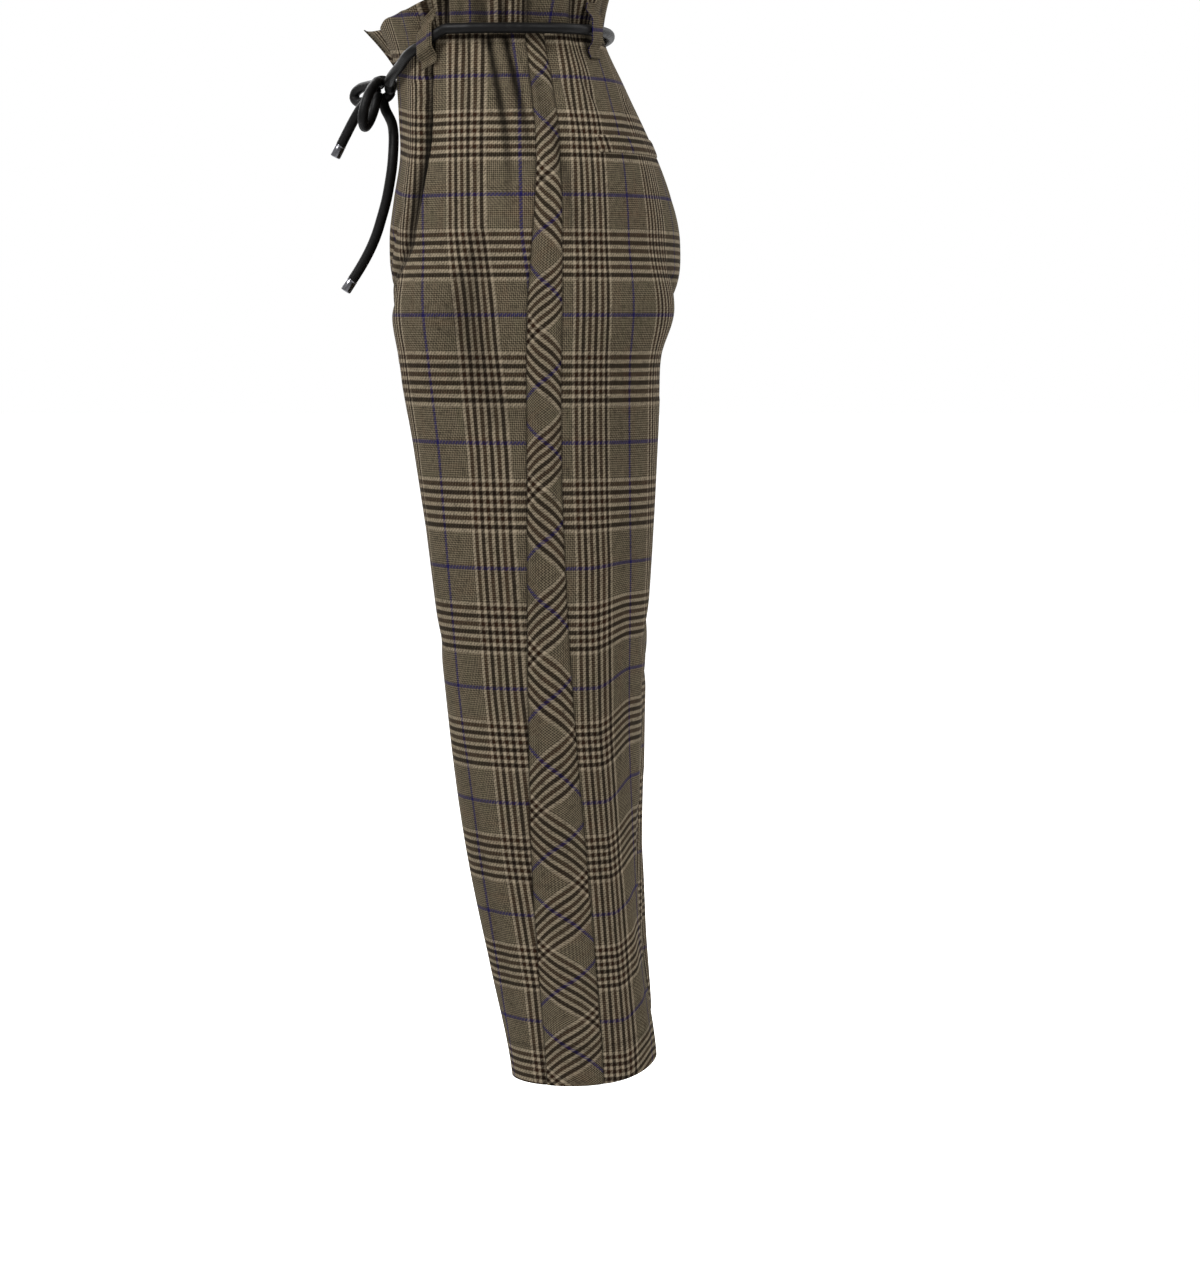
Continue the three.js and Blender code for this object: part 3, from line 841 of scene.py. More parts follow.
@dataclass(frozen=True)
class GlenCheck:
    """Wool in a glen check with a blue windowpane line.

    The cloth's map counts repeats across and along. In each repeat the blue line is at 0 and a
    band of light and dark lines lies round one half; between them the threads alternate finely.
    """

    name: str
    band_across: float = 0.405
    band_along: float = 0.437
    lines: int = 13
    threads: int = 114  # in a repeat
    light: Colour = (0.195, 0.160, 0.113)
    dark: Colour = (0.0020, 0.0010, 0.0006)
    faded_dark: Colour = (0.0180, 0.0066, 0.0026)
    crossed_dark: Colour = (0.0050, 0.0026, 0.0015)
    plain: Colour = (0.040, 0.032, 0.0205)
    plain_pale: Colour = (0.118, 0.096, 0.064)
    plain_deep: Colour = (0.0050, 0.0038, 0.0024)
    rust: Colour = (0.070, 0.031, 0.016)
    green: Colour = (0.040, 0.044, 0.021)
    blue: Colour = (0.0045, 0.0050, 0.070)
    hollow: Colour = (0.0075, 0.0060, 0.0042)  # between threads
    # Painted shade: the colour that the cloth goes towards in the clefts of folds, wrinkles and gathers,
    # and along the darker seam and hem lines.
    unlit: Colour = (0.0018, 0.0014, 0.0010)  # in clefts
    blue_width: float = 0.0145
    tinted: float = 0.35

    def yarn(self, recipe: Recipe, phase: Sock, other: Sock, band: float) -> tuple[Sock, Sock]:
        """Give the colour of the threads that lie side by side along one phase.

        Args:
            recipe: The material.
            phase: The coordinate that counts the threads.
            other: The coordinate along the threads.
            band: The share of a repeat that the band takes.

        Returns:
            The threads' colour, and how strongly a dark line shows.
        """
        place = phase.math("FRACT")
        from_blue = place.math("MINIMUM", 1 - place)
        band_start = 0.5 - band / 2
        count = (place - band_start) * (self.lines / band)
        light = (((count - 0.5) * math.pi).math("COSINE") * 1.3 + 0.36).held()
        faded = ((count - 1.5) * (math.pi / 2)).math("COSINE") * 0.5 + 0.5
        inside = ((from_blue - band_start) * 320.0 + 0.5).held()
        fine = (phase.sine(self.threads / 2) * 0.9 + 0.5).held()
        fleck = recipe.noise(recipe.vector(phase * self.threads, other * 26.0), 1.0, 2.0)
        tint = recipe.noise(recipe.vector(phase * 9.0, other * 1.3), 1.0, 1.0)
        plain = recipe.blend(fine, self.plain_deep, self.plain_pale)
        plain = recipe.blend((0.06 + (fleck - 0.5) * 0.5).held(), plain, self.plain)
        lines = recipe.blend(light, recipe.blend(faded, self.dark, self.faded_dark), self.light)
        colour = recipe.blend(inside, plain, lines)
        rust = ((tint - 0.56) * 3.0).held() * self.tinted
        green = ((0.44 - tint) * 3.0).held() * self.tinted
        colour = recipe.blend(green, recipe.blend(rust, colour, self.rust), self.green)
        blue = ((self.blue_width - from_blue) * 200.0 + 0.5).held() * 0.95
        deep = inside * (1 - light) * (1 - faded * 0.45)
        return recipe.blend(blue, colour, self.blue), deep + blue * 0.5

    def make(self) -> bpy.types.Material:
        """Weave the two sets of threads together, then darken them by the painted shade of the clefts.

        Returns:
            The finished material.
        """
        recipe = Recipe(self.name)
        counts = recipe.map("cloth")
        across, along = counts.part(0), counts.part(1)
        warp, warp_deep = self.yarn(recipe, across, along, self.band_across)
        weft, weft_deep = self.yarn(recipe, along, across, self.band_along)
        twill = (across * (2 * math.pi * 28.5) + along * (2 * math.pi * 29.75)).math("SINE")
        cloth = recipe.blend(twill * 0.26 + 0.5, warp, weft)
        deep = warp_deep + weft_deep - warp_deep * weft_deep
        cloth = recipe.blend((deep * 0.60).held(), cloth, self.crossed_dark)
        place = recipe.place()
        nap = recipe.noise(place, 900.0, 3.0)
        worn = recipe.noise(place, 14.0, 3.0)
        slub = recipe.noise(recipe.vector(across * 85.0, along * 11.0), 1.0, 2.0)
        slub = slub + recipe.noise(recipe.vector(across * 11.0, along * 85.0), 1.0, 2.0)
        dull = ((1 - slub) * 1.5 + (nap - 0.5) * 0.6 + (worn - 0.5) * 0.3 + 0.12).held()
        cloth = recipe.blend(dull, cloth, self.hollow)
        # Painted shade: darken the cloth towards unlit as the map named cleft says.
        cloth = recipe.blend(recipe.map("cleft").part(0).held(), cloth, self.unlit)
        ribs = across.sine(self.threads) * 0.25 + twill * 0.6
        recipe.bump(ribs + nap * 1.4, 0.35, 0.00018)
        recipe.surface(Base_Color=cloth, Roughness=1.0, Specular_IOR_Level=0.03)
        return recipe.material


@dataclass(frozen=True)
class CordLeather:
    """Black leather round a cord: smooth, with fine cross creases and rubbed high spots."""

    name: str = "cord_leather"
    base: Colour = (0.0028, 0.0026, 0.0026)
    rubbed: Colour = (0.0100, 0.0090, 0.0088)

    def make(self) -> bpy.types.Material:
        """Make the leather.

        Returns:
            The finished material.
        """
        recipe = Recipe(self.name)
        place = recipe.place()
        metres = recipe.map("cloth")
        creases = recipe.vector(metres.part(0) * 160.0, metres.part(1) * 900.0)
        creases = recipe.noise(creases, 1.0, 2.0)
        to_edges = {"feature": "DISTANCE_TO_EDGE"}
        grain = recipe.node("ShaderNodeTexVoronoi", to_edges, {"Vector": place, "Scale": 1900.0})
        scuffs = recipe.noise(place, 120.0, 4.0)
        rubbed = ((scuffs - 0.56) * 4.0).held()
        recipe.surface(Base_Color=recipe.blend(rubbed * 0.6, self.base, self.rubbed))
        recipe.surface(Roughness=0.46 + rubbed * 0.16 + (creases - 0.5) * 0.18)
        recipe.surface(Specular_IOR_Level=0.075, Coat_Roughness=0.3, Coat_Weight=0.02)
        recipe.bump(creases * 0.8 + (grain * 5.0).held() * 0.5, 0.28, 0.00025)
        return recipe.material


@dataclass(frozen=True)
class TipMetal:
    """Dark polished metal with fine turning marks."""

    name: str = "tip_metal"
    base: Colour = (0.13, 0.13, 0.14)
    dull: Colour = (0.05, 0.05, 0.055)

    def make(self) -> bpy.types.Material:
        """Make the metal.

        Returns:
            The finished material.
        """
        recipe = Recipe(self.name)
        place = recipe.place()
        marks = recipe.noise(place, 700.0, 3.0)
        smudge = recipe.noise(place, 90.0, 2.0)
        recipe.surface(Base_Color=recipe.blend(((smudge - 0.5) * 3.0).held(), self.base, self.dull))
        recipe.surface(Metallic=1.0, Roughness=0.16 + marks * 0.16)
        recipe.bump(marks, 0.06, 0.0001)
        return recipe.material


# ---- threads of the cloth ----------------------------------------------------------------

REPEAT_ACROSS = 0.1027  # metres from one blue line to the next round the leg
REPEAT_ALONG = 0.1075
BAND_START = 0.5 - GlenCheck.band_across / 2
# Heights of the blue lines that run round the front, from the frill down: the cloth eases and
# hangs a little differently at each.
BLUE_HEIGHTS = np.array(
    [0.062, -0.0440, -0.1498, -0.2557, -0.3687, -0.4808, -0.5892, -0.6938, -0.7973, -0.8960, -0.9960]
)
# Heights of the middles of the bias strip's upward bands along its front seam.
STRIP_HEIGHTS = np.array(
    [0.1560, 0.0160, -0.1210, -0.2593, -0.3990, -0.5460, -0.6902, -0.8201, -0.9420, -1.0600]
)
STRIP_FIRST = -2.5  # the strip's count at the first of them
STRIP_SLOPES = (7.7, 6.2)  # repeats for each metre across the strip, at the waist and at the hem
STRIP_EASE = 0.24  # how much closer its threads lie in its middle
STRIP_SHIFT = 0.16  # of its downward bands against its upward ones
PLEAT_COUNT = 0.27  # repeats of cloth hidden in the deep pleat
DRAG_COUNT = 0.30  # repeats that the drag lines at the fork pull forwards
DRAG_DROP = 0.010
# Height, and how far behind the side seam the back panel's band of lines starts.
BACK_BAND = np.array([(0.0, 0.0105), (-0.48, 0.0105), (-0.63, 0.0025), (-0.95, 0.0005)])
BACK_EASE = 1.12  # cloth eased into the back panel
# Height, and the y of the front edge of the front panel's band of lines.
BAND_EDGE = np.array(
    [
        (0.0, -0.0427),
        (-0.180, -0.0416),
        (-0.278, -0.0340),
        (-0.376, -0.0236),
        (-0.465, -0.0186),
        (-0.595, -0.0095),
        (-0.743, 0.0061),
        (-0.864, 0.0251),
        (-0.960, 0.0350),
    ]
)


def blue_phase(z: Array) -> Array:
    """Count repeats down the cloth from the blue line just below the waist."""
    return np.interp(-np.asarray(z), -BLUE_HEIGHTS, np.arange(len(BLUE_HEIGHTS)) - 1.0)


def arc_lengths(points: Array) -> Array:
    """Measure the cloth along each row of a grid, from its first column."""
    steps = np.linalg.norm(np.diff(points, axis=1), axis=-1)
    return np.concatenate([np.zeros((len(points), 1)), np.cumsum(steps, axis=1)], axis=1)


def at_share(rows: Array, share: Array) -> Array:
    """Read each row of a grid at its own share of the way along, by straight lines.

    Args:
        rows: The grid.
        share: A share for each row, from 0 to 1.

    Returns:
        A value for each row.
    """
    last = rows.shape[1] - 1
    place = clamp01(share) * last
    low = np.minimum(place.astype(int), last - 1)
    first = np.take_along_axis(rows, low[:, None], axis=1)[:, 0]
    second = np.take_along_axis(rows, low[:, None] + 1, axis=1)[:, 0]
    return mix(first, second, place - low)


class Cut(Enum):
    """How a panel's threads lie."""

    FRONT = "front"
    BACK = "back"
    STRIP = "strip"


@dataclass(frozen=True)
class Panel:
    """One panel of a leg, from the waist seam to the hem."""

    name: str
    cut: Cut
    columns: int
    flat: tuple[float, float]
    area: float
    rows: int = 300
    wall: float = 0.0015
    hem_wall: float = 0.0026
    hem_depth: float = 0.036
    seam_dip: float = 0.0010
    seam_width: float = 0.0018
    strip_crown: float = 0.0011
    seam_dark: float = 0.55
    centre_dark: float = 0.3
    hem_dark: float = 0.35
    edge_offsets: tuple[float, ...] = (0.0004, 0.0010, 0.0018, 0.0028, 0.0042)

    def seams(self, level: Array) -> tuple[Array, Array]:
        """Find the turns of the panel's two seams.

        Args:
            level: Places down the cloth.

        Returns:
            The turns of the first and of the second seam.
        """
        zero = np.zeros_like(level)
        if self.cut is Cut.FRONT:
            return zero, FORM.strip_seam("strip_front", level)
        if self.cut is Cut.STRIP:
            return FORM.strip_seam("strip_front", level), FORM.strip_seam("strip_back", level)
        return FORM.strip_seam("strip_back", level), zero + 1

    def shares(self) -> Array:
        """Space the columns evenly, with close ones along both seams.

        Returns:
            Shares of the way across, from 0 to 1.
        """
        close = np.array(self.edge_offsets) / self.flat[0]
        middle = np.linspace(0, 1, self.columns)
        clear = 1.3 * close[-1]
        at_seam = (middle == 0) | (middle == 1)
        middle = middle[at_seam | ((middle > clear) & (middle < 1 - clear))]
        return np.sort(np.concatenate([middle, close, 1 - close]))

    def grid(self) -> tuple[Array, Array, Array]:
        """Work out turns, levels and points of the outer face.

        Returns:
            The grid's turns, its levels and its points.
        """
        level = FORM.level(np.linspace(0, FORM.hem, self.rows))
        level[0], level[-1] = 0.0, 3.0
        first, last = self.seams(level)
        share = self.shares()[None, :]
        turn = mix(first[:, None], last[:, None], share)
        level = level[:, None] + 0 * turn
        points = FORM.cloth(turn, level)
        run = arc_lengths(points)
        gap = np.minimum(run, run[:, -1:] - run)
        dip = self.seam_dip * bell(gap / self.seam_width)
        normals = grid_normals(points)
        at_centre = (turn < 1e-6) | (turn > 1 - 1e-6)
        side_seam = self.cut is not Cut.FRONT
        dip = np.where(at_centre, 0.0, dip) if side_seam else dip
        points = points - dip[..., None] * normals
        if self.cut is Cut.STRIP:
            crown = self.strip_crown * (1 - np.square(2 * share - 1))
            points = points + crown[..., None] * normals
        points[..., 0] = np.maximum(points[..., 0], FORM.seam_gap / 2)
        return turn, level, points

    def threads(self, turn: Array, level: Array, points: Array) -> Array:
        """Work out where each point lies in the check.

        Args:
            turn: The grid's turns.
            level: The grid's levels.
            points: The grid's points.

        Returns:
            Repeats across and along, for each point.
        """
        z = FORM.height(level)
        run = arc_lengths(points)
        if self.cut is Cut.STRIP:
            return self.strip_threads(z, run, points[..., 2])
        if self.cut is Cut.FRONT:
            across, lowered = self.front_threads(turn, level, run)
        else:
            across, lowered = self.back_threads(z, run)
        return np.stack([across, blue_phase(points[..., 2] - lowered)], axis=-1)

    def strip_threads(self, z: Array, run: Array, heights: Array) -> Array:
        """Lay the cloth on the bias: its counts are the height plus and minus the way across.

        Args:
            z: The grid's heights before the cloth sags.
            run: Cloth from the strip's front seam.
            heights: The points' heights.

        Returns:
            Repeats across and along, for each point.
        """
        share = run / run[:, -1:]
        eased = run[:, -1:] * (share + STRIP_EASE * np.sin(2 * math.pi * share) / (2 * math.pi))
        slope = mix(*STRIP_SLOPES, clamp01(z / FORM.hem))
        count = np.arange(len(STRIP_HEIGHTS)) + STRIP_FIRST
        down = np.interp(-heights, -STRIP_HEIGHTS, count)
        return np.stack([down + eased * slope, down - eased * slope - STRIP_SHIFT], axis=-1)

    def front_threads(self, turn: Array, level: Array, run: Array) -> tuple[Array, Array]:
        """Count cloth from the front edge of the front panel's band of lines.

        The deep pleat hides some of the cloth ahead of it, and the drag lines at the fork pull
        the check there forwards and down.

        Args:
            turn: The grid's turns.
            level: The grid's levels.
            run: Cloth from the centre front.

        Returns:
            Repeats across, and how far the check lies lower.
        """
        z = FORM.height(level)
        anchor = np.interp(-z[:, 0], -BAND_EDGE[:, 0], BAND_EDGE[:, 1])
        place = FORM.turn_at(anchor, level[:, 0])
        column = np.sum(turn < place[:, None], axis=1) - 1
        row = np.arange(len(turn))
        before, after = turn[row, column], turn[row, column + 1]
        share = column + (place - before) / (after - before)
        start = at_share(run, share / (turn.shape[1] - 1))
        across = BAND_START + (run - start[:, None]) / REPEAT_ACROSS
        hidden = PLEAT_COUNT * (1 - below(z, -0.10, 0.24))
        across = across - hidden * (1 - smooth((turn - DEEP_PLEAT.line(z)) / 0.010 + 0.5))
        drag = below(z, -0.15, 0.11) * (1 - below(z, -0.27, 0.13))
        ahead = 1 - smooth(turn / np.maximum(DEEP_PLEAT.line(z), 0.05))
        across = across - DRAG_COUNT * drag * ahead
        return across, DRAG_DROP * (1 - below(z, -0.16, 0.20)) * ahead

    def back_threads(self, z: Array, run: Array) -> tuple[Array, Array]:
        """Count cloth from the back panel's side seam, whose check rises behind the shin.

        Args:
            z: The grid's heights before the cloth sags.
            run: Cloth from the side seam.

        Returns:
            Repeats across, and how far the check lies lower.
        """
        offset = np.interp(-z, -BACK_BAND[:, 0], BACK_BAND[:, 1])
        eased = run * BACK_EASE + 0.010 * smooth((run - 0.035) / 0.045)
        across = BAND_START + (eased - offset) / REPEAT_ACROSS
        return across, 0.020 * below(z, -0.40, 0.25) * smooth((run - 0.020) / 0.045)

    def build(self, side: Side, cloth: bpy.types.Material) -> bpy.types.Object:
        """Args:
            side: The half it is for.
            cloth: Its material.

        Returns:
            The piece.
        """
        turn, level, outer = self.grid()
        uv = self.threads(turn, level, outer)
        z = FORM.height(level)
        wall = mix(self.wall, self.hem_wall, smooth((FORM.hem + self.hem_depth - z) / 0.002))
        inner = outer - wall[..., None] * grid_normals(outer)
        inner[..., 0] = np.maximum(inner[..., 0], FORM.seam_gap / 2)
        run = arc_lengths(outer)
        # Painted shade of the folds and wrinkles, joined with darker lines along the seams and at the top
        # of the hem.
        seam = self.seam_dark * bell(np.minimum(run, run[:, -1:] - run) / 0.0011)
        seam = np.where((turn < 1e-6) | (turn > 1 - 1e-6), self.centre_dark, seam)
        hem_line = self.hem_dark * bell((z - FORM.hem - self.hem_depth) / 0.0016)
        cleft = 1 - (1 - FORM.cleft(turn, z)) * (1 - seam) * (1 - hem_line)
        piece = shell(f"{self.name}_panel_{side.label}", outer, inner, uv, side, cleft)
        slot = "bias_cloth" if self.cut is Cut.STRIP else "check_cloth"
        dress(piece, cloth, slot, f"{self.name}_{side.label}")
        return piece


def dress(piece: bpy.types.Object, material: bpy.types.Material, slot: str, *nodes: str) -> None:
    """Give a piece its material and its body, and hide the CAD nodes that it stands for.

    Args:
        piece: The piece.
        material: Its material.
        slot: Not used.
        nodes: The CAD nodes that it replaces.
    """
    piece.data.materials.append(material)
    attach(piece, "root")
    if nodes:
        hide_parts(*nodes)
    LOG.info("%s: %d faces", piece.name, len(getattr(piece.data, "polygons", ())))


# ---- the frill ---------------------------------------------------------------------------


@dataclass(frozen=True)
class Gather:
    """A fold of the frill at a turn; depth goes in at the top edge, or out if negative."""

    turn: float
    depth: float
    width: float


@dataclass(frozen=True)
class Frill:
    """The stand of doubled cloth above the cord, gathered by it."""

    height: float = 0.041
    sag: float = 0.008
    corner_rise: float = 0.003
    lean_left: float = 0.015
    lean_right: float = 0.031
    lean_side: float = 0.009
    wall: float = 0.0022
    columns: int = 300
    rows: int = 26
    gathers: tuple[Gather, ...] = (
        Gather(0.290, -0.005, 0.050),
        Gather(0.366, 0.014, 0.015),
        Gather(0.410, -0.003, 0.024),
        Gather(0.460, 0.007, 0.020),
        Gather(0.515, -0.005, 0.026),
        Gather(0.580, 0.009, 0.022),
        Gather(0.650, -0.005, 0.030),
        Gather(0.740, 0.008, 0.024),
        Gather(0.830, -0.005, 0.035),
        Gather(0.930, 0.006, 0.028),
    )
    # Waves for each unit of turn in radians, height as a share of the ripple, and phase.
    ripples: tuple[tuple[float, float, float], ...] = ((118, 0.6, 0.0), (71, 0.5, 1.2), (197, 0.35, 2.1))
    ripple: float = 0.0007
    # Painted shade: how much the colour darkens for each metre that a gather goes in.
    gather_painted_shade: float = 80.0  # darkness for each metre that a gather goes in
    # Turn, and repeats of the check counted across the frill.
    counts: tuple[tuple[float, float], ...] = (
        (0.00, -0.90),
        (0.22, 0.00),
        (0.294, 0.30),
        (0.328, 0.42),
        (0.442, 1.00),
        (0.484, 1.30),
        (0.580, 1.70),
        (1.00, 3.40),
    )

    def surface(self, turn: Array, rise: Array, side: Side) -> Array:
        """Place the frill: it leans out as it rises, and its gathers open towards the top.

        Args:
            turn: Places round the waist.
            rise: 0 at the waist seam, 1 at the top edge.
            side: Which half, for the lean of its front corner.

        Returns:
            Points on the left half.
        """
        base = FORM.cloth(turn, np.zeros_like(turn))
        outwards = FORM.outwards(turn, np.zeros_like(turn))
        front = smooth(1 - turn / 0.24)
        corner = self.lean_left if side is Side.LEFT else self.lean_right
        out = mix(self.lean_side, corner, front) * rise**1.3
        for gather in self.gathers:
            out = out - gather.depth * rise * bell((turn - gather.turn) / gather.width)
        wave = sum(np.sin(turn * pace + phase) * size for pace, size, phase in self.ripples)
        out = out + self.ripple * wave * bell((rise - 0.12) / 0.30) * smooth(turn * 14)
        tall = self.height - self.sag * bell((turn - 0.28) / 0.05)
        tall = tall + self.corner_rise * bell((turn - 0.11) / 0.05)
        points = base + out[..., None] * outwards
        points[..., 2] += FORM.seam_gap + tall * rise
        return points

    def build(self, side: Side, cloth: bpy.types.Material) -> bpy.types.Object:
        """Args:
            side: The half.
            cloth: Its material.

        Returns:
            The piece.
        """
        turn, rise = np.meshgrid(np.linspace(0, 1, self.columns), np.linspace(1, 0, self.rows))
        outer = self.surface(turn, rise, side)
        normals = grid_normals(outer)
        flat = unit(normals * np.array([1.0, 1.0, 0.0]))
        wall = self.wall * (1 - 0.5 * bell((1 - rise) / 0.03))
        inner = outer - wall[..., None] * mix(flat, normals, 0.5)
        inner[..., 0] = np.maximum(inner[..., 0], FORM.seam_gap / 2)
        across = np.interp(turn, *np.array(self.counts).T)
        drape = outer[..., 2] - 0.006 * smooth(1 - turn / 0.3)
        uv = np.stack([across, (0.012 - drape) / REPEAT_ALONG - 1.0], axis=-1)
        # Painted shade in the gathers' folds and along the frill's foot, where it meets the cord.
        lit = 1.0
        for gather in self.gathers:
            across_it = (turn - gather.turn) / (0.8 * gather.width)
            dark = self.gather_painted_shade * max(gather.depth, 0.0) * bell(across_it)
            lit = lit * (1 - clamp01(dark) * 0.9)
        cleft = 1 - lit * (1 - 0.5 * bell(rise / 0.08))
        piece = shell(f"waist_frill_{side.label}", outer, inner, uv, side, cleft)
        dress(piece, cloth, "check_cloth", f"frill_{side.label}")
        return piece


# ---- the cord belt -----------------------------------------------------------------------


@dataclass(frozen=True)
class Cord:
    """Sizes and routes of the leather cord: belt, knot, bow loops and free ends."""

    radius: float = 0.00475
    drop_side: float = 0.002
    drop_front: float = 0.011
    offset: float = 0.00655
    belt_start: float = 0.032
    knot: tuple[float, float, float] = (0.0, -0.108, -0.0465)
    knot_radius: float = 0.0082
    knot_open: float = 0.32
    step: float = 0.0016
    to_knot: tuple[tuple[float, float, float], ...] = (
        (0.0095, -0.1006, -0.0464),
        (0.0054, -0.1005, -0.0470),
    )
    loop_left: tuple[tuple[float, float, float], ...] = (
        (0.0053, -0.1105, -0.0410),
        (0.0095, -0.1106, -0.0408),
        (0.0160, -0.1114, -0.0405),
        (0.0280, -0.1130, -0.0440),
        (0.0390, -0.1170, -0.0520),
        (0.0450, -0.1210, -0.0640),
        (0.0450, -0.1230, -0.0760),
        (0.0380, -0.1220, -0.0830),
        (0.0280, -0.1190, -0.0790),
        (0.0190, -0.1150, -0.0680),
        (0.0140, -0.1126, -0.0570),
        (0.0095, -0.1115, -0.0540),
        (0.0053, -0.1113, -0.0534),
    )
    loop_right: tuple[tuple[float, float, float], ...] = (
        (-0.0054, -0.1105, -0.0412),
        (-0.0095, -0.1110, -0.0412),
        (-0.0160, -0.1160, -0.0410),
        (-0.0260, -0.1240, -0.0415),
        (-0.0340, -0.1310, -0.0430),
        (-0.0390, -0.1360, -0.0470),
        (-0.0400, -0.1370, -0.0515),
        (-0.0360, -0.1335, -0.0555),
        (-0.0290, -0.1280, -0.0560),
        (-0.0200, -0.1210, -0.0545),
        (-0.0130, -0.1145, -0.0536),
        (-0.0095, -0.1120, -0.0534),
        (-0.0054, -0.1113, -0.0534),
    )
    # The free ends start a little inside the knot, where they pass under its turn.
    end_short: tuple[tuple[float, float, float], ...] = (
        (0.0005, -0.1125, -0.0455),
        (-0.0010, -0.1194, -0.0539),
        (-0.0025, -0.1235, -0.0580),
        (-0.0050, -0.1295, -0.0650),
        (-0.0075, -0.1360, -0.0755),
        (-0.0090, -0.1420, -0.0865),
        (-0.0100, -0.1475, -0.0970),
    )
    end_long: tuple[tuple[float, float, float], ...] = (
        (0.0000, -0.1075, -0.0540),
        (0.0010, -0.1065, -0.0603),
        (0.0025, -0.1046, -0.0660),
        (0.0060, -0.1016, -0.0715),
        (0.0120, -0.0982, -0.0790),
        (0.0200, -0.0964, -0.0900),
        (0.0260, -0.0964, -0.1050),
        (0.0290, -0.0975, -0.1200),
        (0.0300, -0.0998, -0.1350),
        (0.0300, -0.1028, -0.1500),
        (0.0300, -0.1070, -0.1650),
        (0.0300, -0.1124, -0.1820),
        (0.0300, -0.1195, -0.1980),
        (0.0300, -0.1280, -0.2130),
        (0.0300, -0.1345, -0.2230),
    )

    def belt_point(self, turn: Array) -> Array:
        """Place the cord's middle: along the waist seam, lower towards the bow.

        Args:
            turn: Places round the left half.

        Returns:
            A point for each.
        """
        drop = mix(self.drop_side, self.drop_front, smooth(1 - turn / 0.36))
        level = drop / -FORM.rise_top
        depth = sum(fold.inwards(turn, FORM.height(level)) for fold in FOLDS)
        proud = np.maximum(0, -depth)
        outwards = FORM.outwards(turn, level)
        return FORM.ring(turn, level) + (self.offset + proud)[..., None] * outwards

    def belt_path(self) -> Array:
        """Run the cord from the knot round the waist and back.

        Returns:
            Points along its middle.
        """
        turns = np.linspace(self.belt_start, 1, 60)
        left = self.belt_point(turns)
        right = left[-2::-1] * np.array([-1, 1, 1])
        lead = np.array(self.to_knot)
        route = np.concatenate([lead[::-1], left, right, lead * np.array([-1, 1, 1])])
        return spline(route, self.step)

    def knot_path(self) -> Array:
        """Turn the cord once round the strands: a circle in the plane of y and z.

        Returns:
            Points along its middle.
        """
        angle = np.linspace(self.knot_open, 2 * math.pi - self.knot_open, 60)
        _, y, z = self.knot
        ring = [0 * angle + 0.0006 * np.sin(angle), y + self.knot_radius * np.cos(angle)]
        return np.stack([*ring, z + self.knot_radius * np.sin(angle)], axis=1)

    def tube(self, name: str, path: Array) -> bpy.types.Object:
        """Make a stretch of cord with closed ends."""
        whole, radii = rounded_ends(path, self.radius)
        return swept(name, whole, radii)

    def build(self, leather: bpy.types.Material, metal: bpy.types.Material) -> list[bpy.types.Object]:
        """Make every stretch of the cord and its two metal tips.

        Args:
            leather: The cord's material.
            metal: The tips' material.

        Returns:
            The pieces.
        """
        belt = self.tube("cord_round_waist", self.belt_path())
        dress(belt, leather, "cord_leather", "belt_cord")
        knot = self.tube("cord_knot_turn", self.knot_path())
        dress(knot, leather, "cord_leather", "bow_knot")
        pieces = [belt, knot]
        for side, route in ((Side.LEFT, self.loop_left), (Side.RIGHT, self.loop_right)):
            pieces.append(self.free(f"cord_loop_{side.label}", f"bow_loop_{side.label}", route, leather))
        for end, route in (("short", self.end_short), ("long", self.end_long)):
            tip = CordTip().build(end, route, metal)
            pieces.append(self.free(f"cord_{end}_end", f"cord_end_{end}", route, leather, tip))
            pieces.append(tip)
        return pieces

    def free(
        self,
        name: str,
        node: str,
        route: tuple[tuple[float, float, float], ...],
        leather: bpy.types.Material,
        tip: bpy.types.Object | None = None,
    ) -> bpy.types.Object:
        """Args:
            name: The piece's name.
            node: The CAD node that it replaces.
            route: Points along its middle.
            leather: Its material.
            tip: Not used (the metal tip on its far end, or None where it goes back into the knot).

        Returns:
            The piece.
        """
        path = spline(np.array(route), self.step)
        piece = self.tube(name, path)
        dress(piece, leather, "cord_leather", node)
        return piece


@dataclass(frozen=True)
class CordTip:
    """A metal cap pushed on a cord's end, with a rolled mouth and a turned groove."""

    gap: float = 0.0003
    # Distance along the cap and its radius there.
    profile: tuple[tuple[float, float], ...] = (
        (0.0000, 0.0000),
        (0.0000, 0.0044),
        (0.0001, 0.0049),
        (0.0005, 0.0051),
        (0.0011, 0.0051),
        (0.0014, 0.0049),
        (0.0016, 0.00482),
        (0.0019, 0.00482),
        (0.0021, 0.00495),
        (0.0060, 0.0050),
        (0.0110, 0.0050),
        (0.0116, 0.00492),
        (0.0121, 0.0047),
        (0.0124, 0.0044),
        (0.0125, 0.0040),
        (0.0125, 0.0000),
    )

    def build(
        self, end: str, route: tuple[tuple[float, float, float], ...], metal: bpy.types.Material
    ) -> bpy.types.Object:
        """Turn the profile about the cord's last direction.

        Args:
            end: Which free end, short or long.
            route: The cord's route.
            metal: The material.

        Returns:
            The piece.
        """
        path = spline(np.array(route), 0.001)
        direction = unit(path[-1] - path[-3])
        along, radii = np.array(self.profile).T
        centres = path[-1] + (self.gap + along)[:, None] * direction
        piece = lathe(f"{end}_end_tip", centres, radii, direction)
        dress(piece, metal, "tip_metal", f"cord_tip_{end}")
        return piece


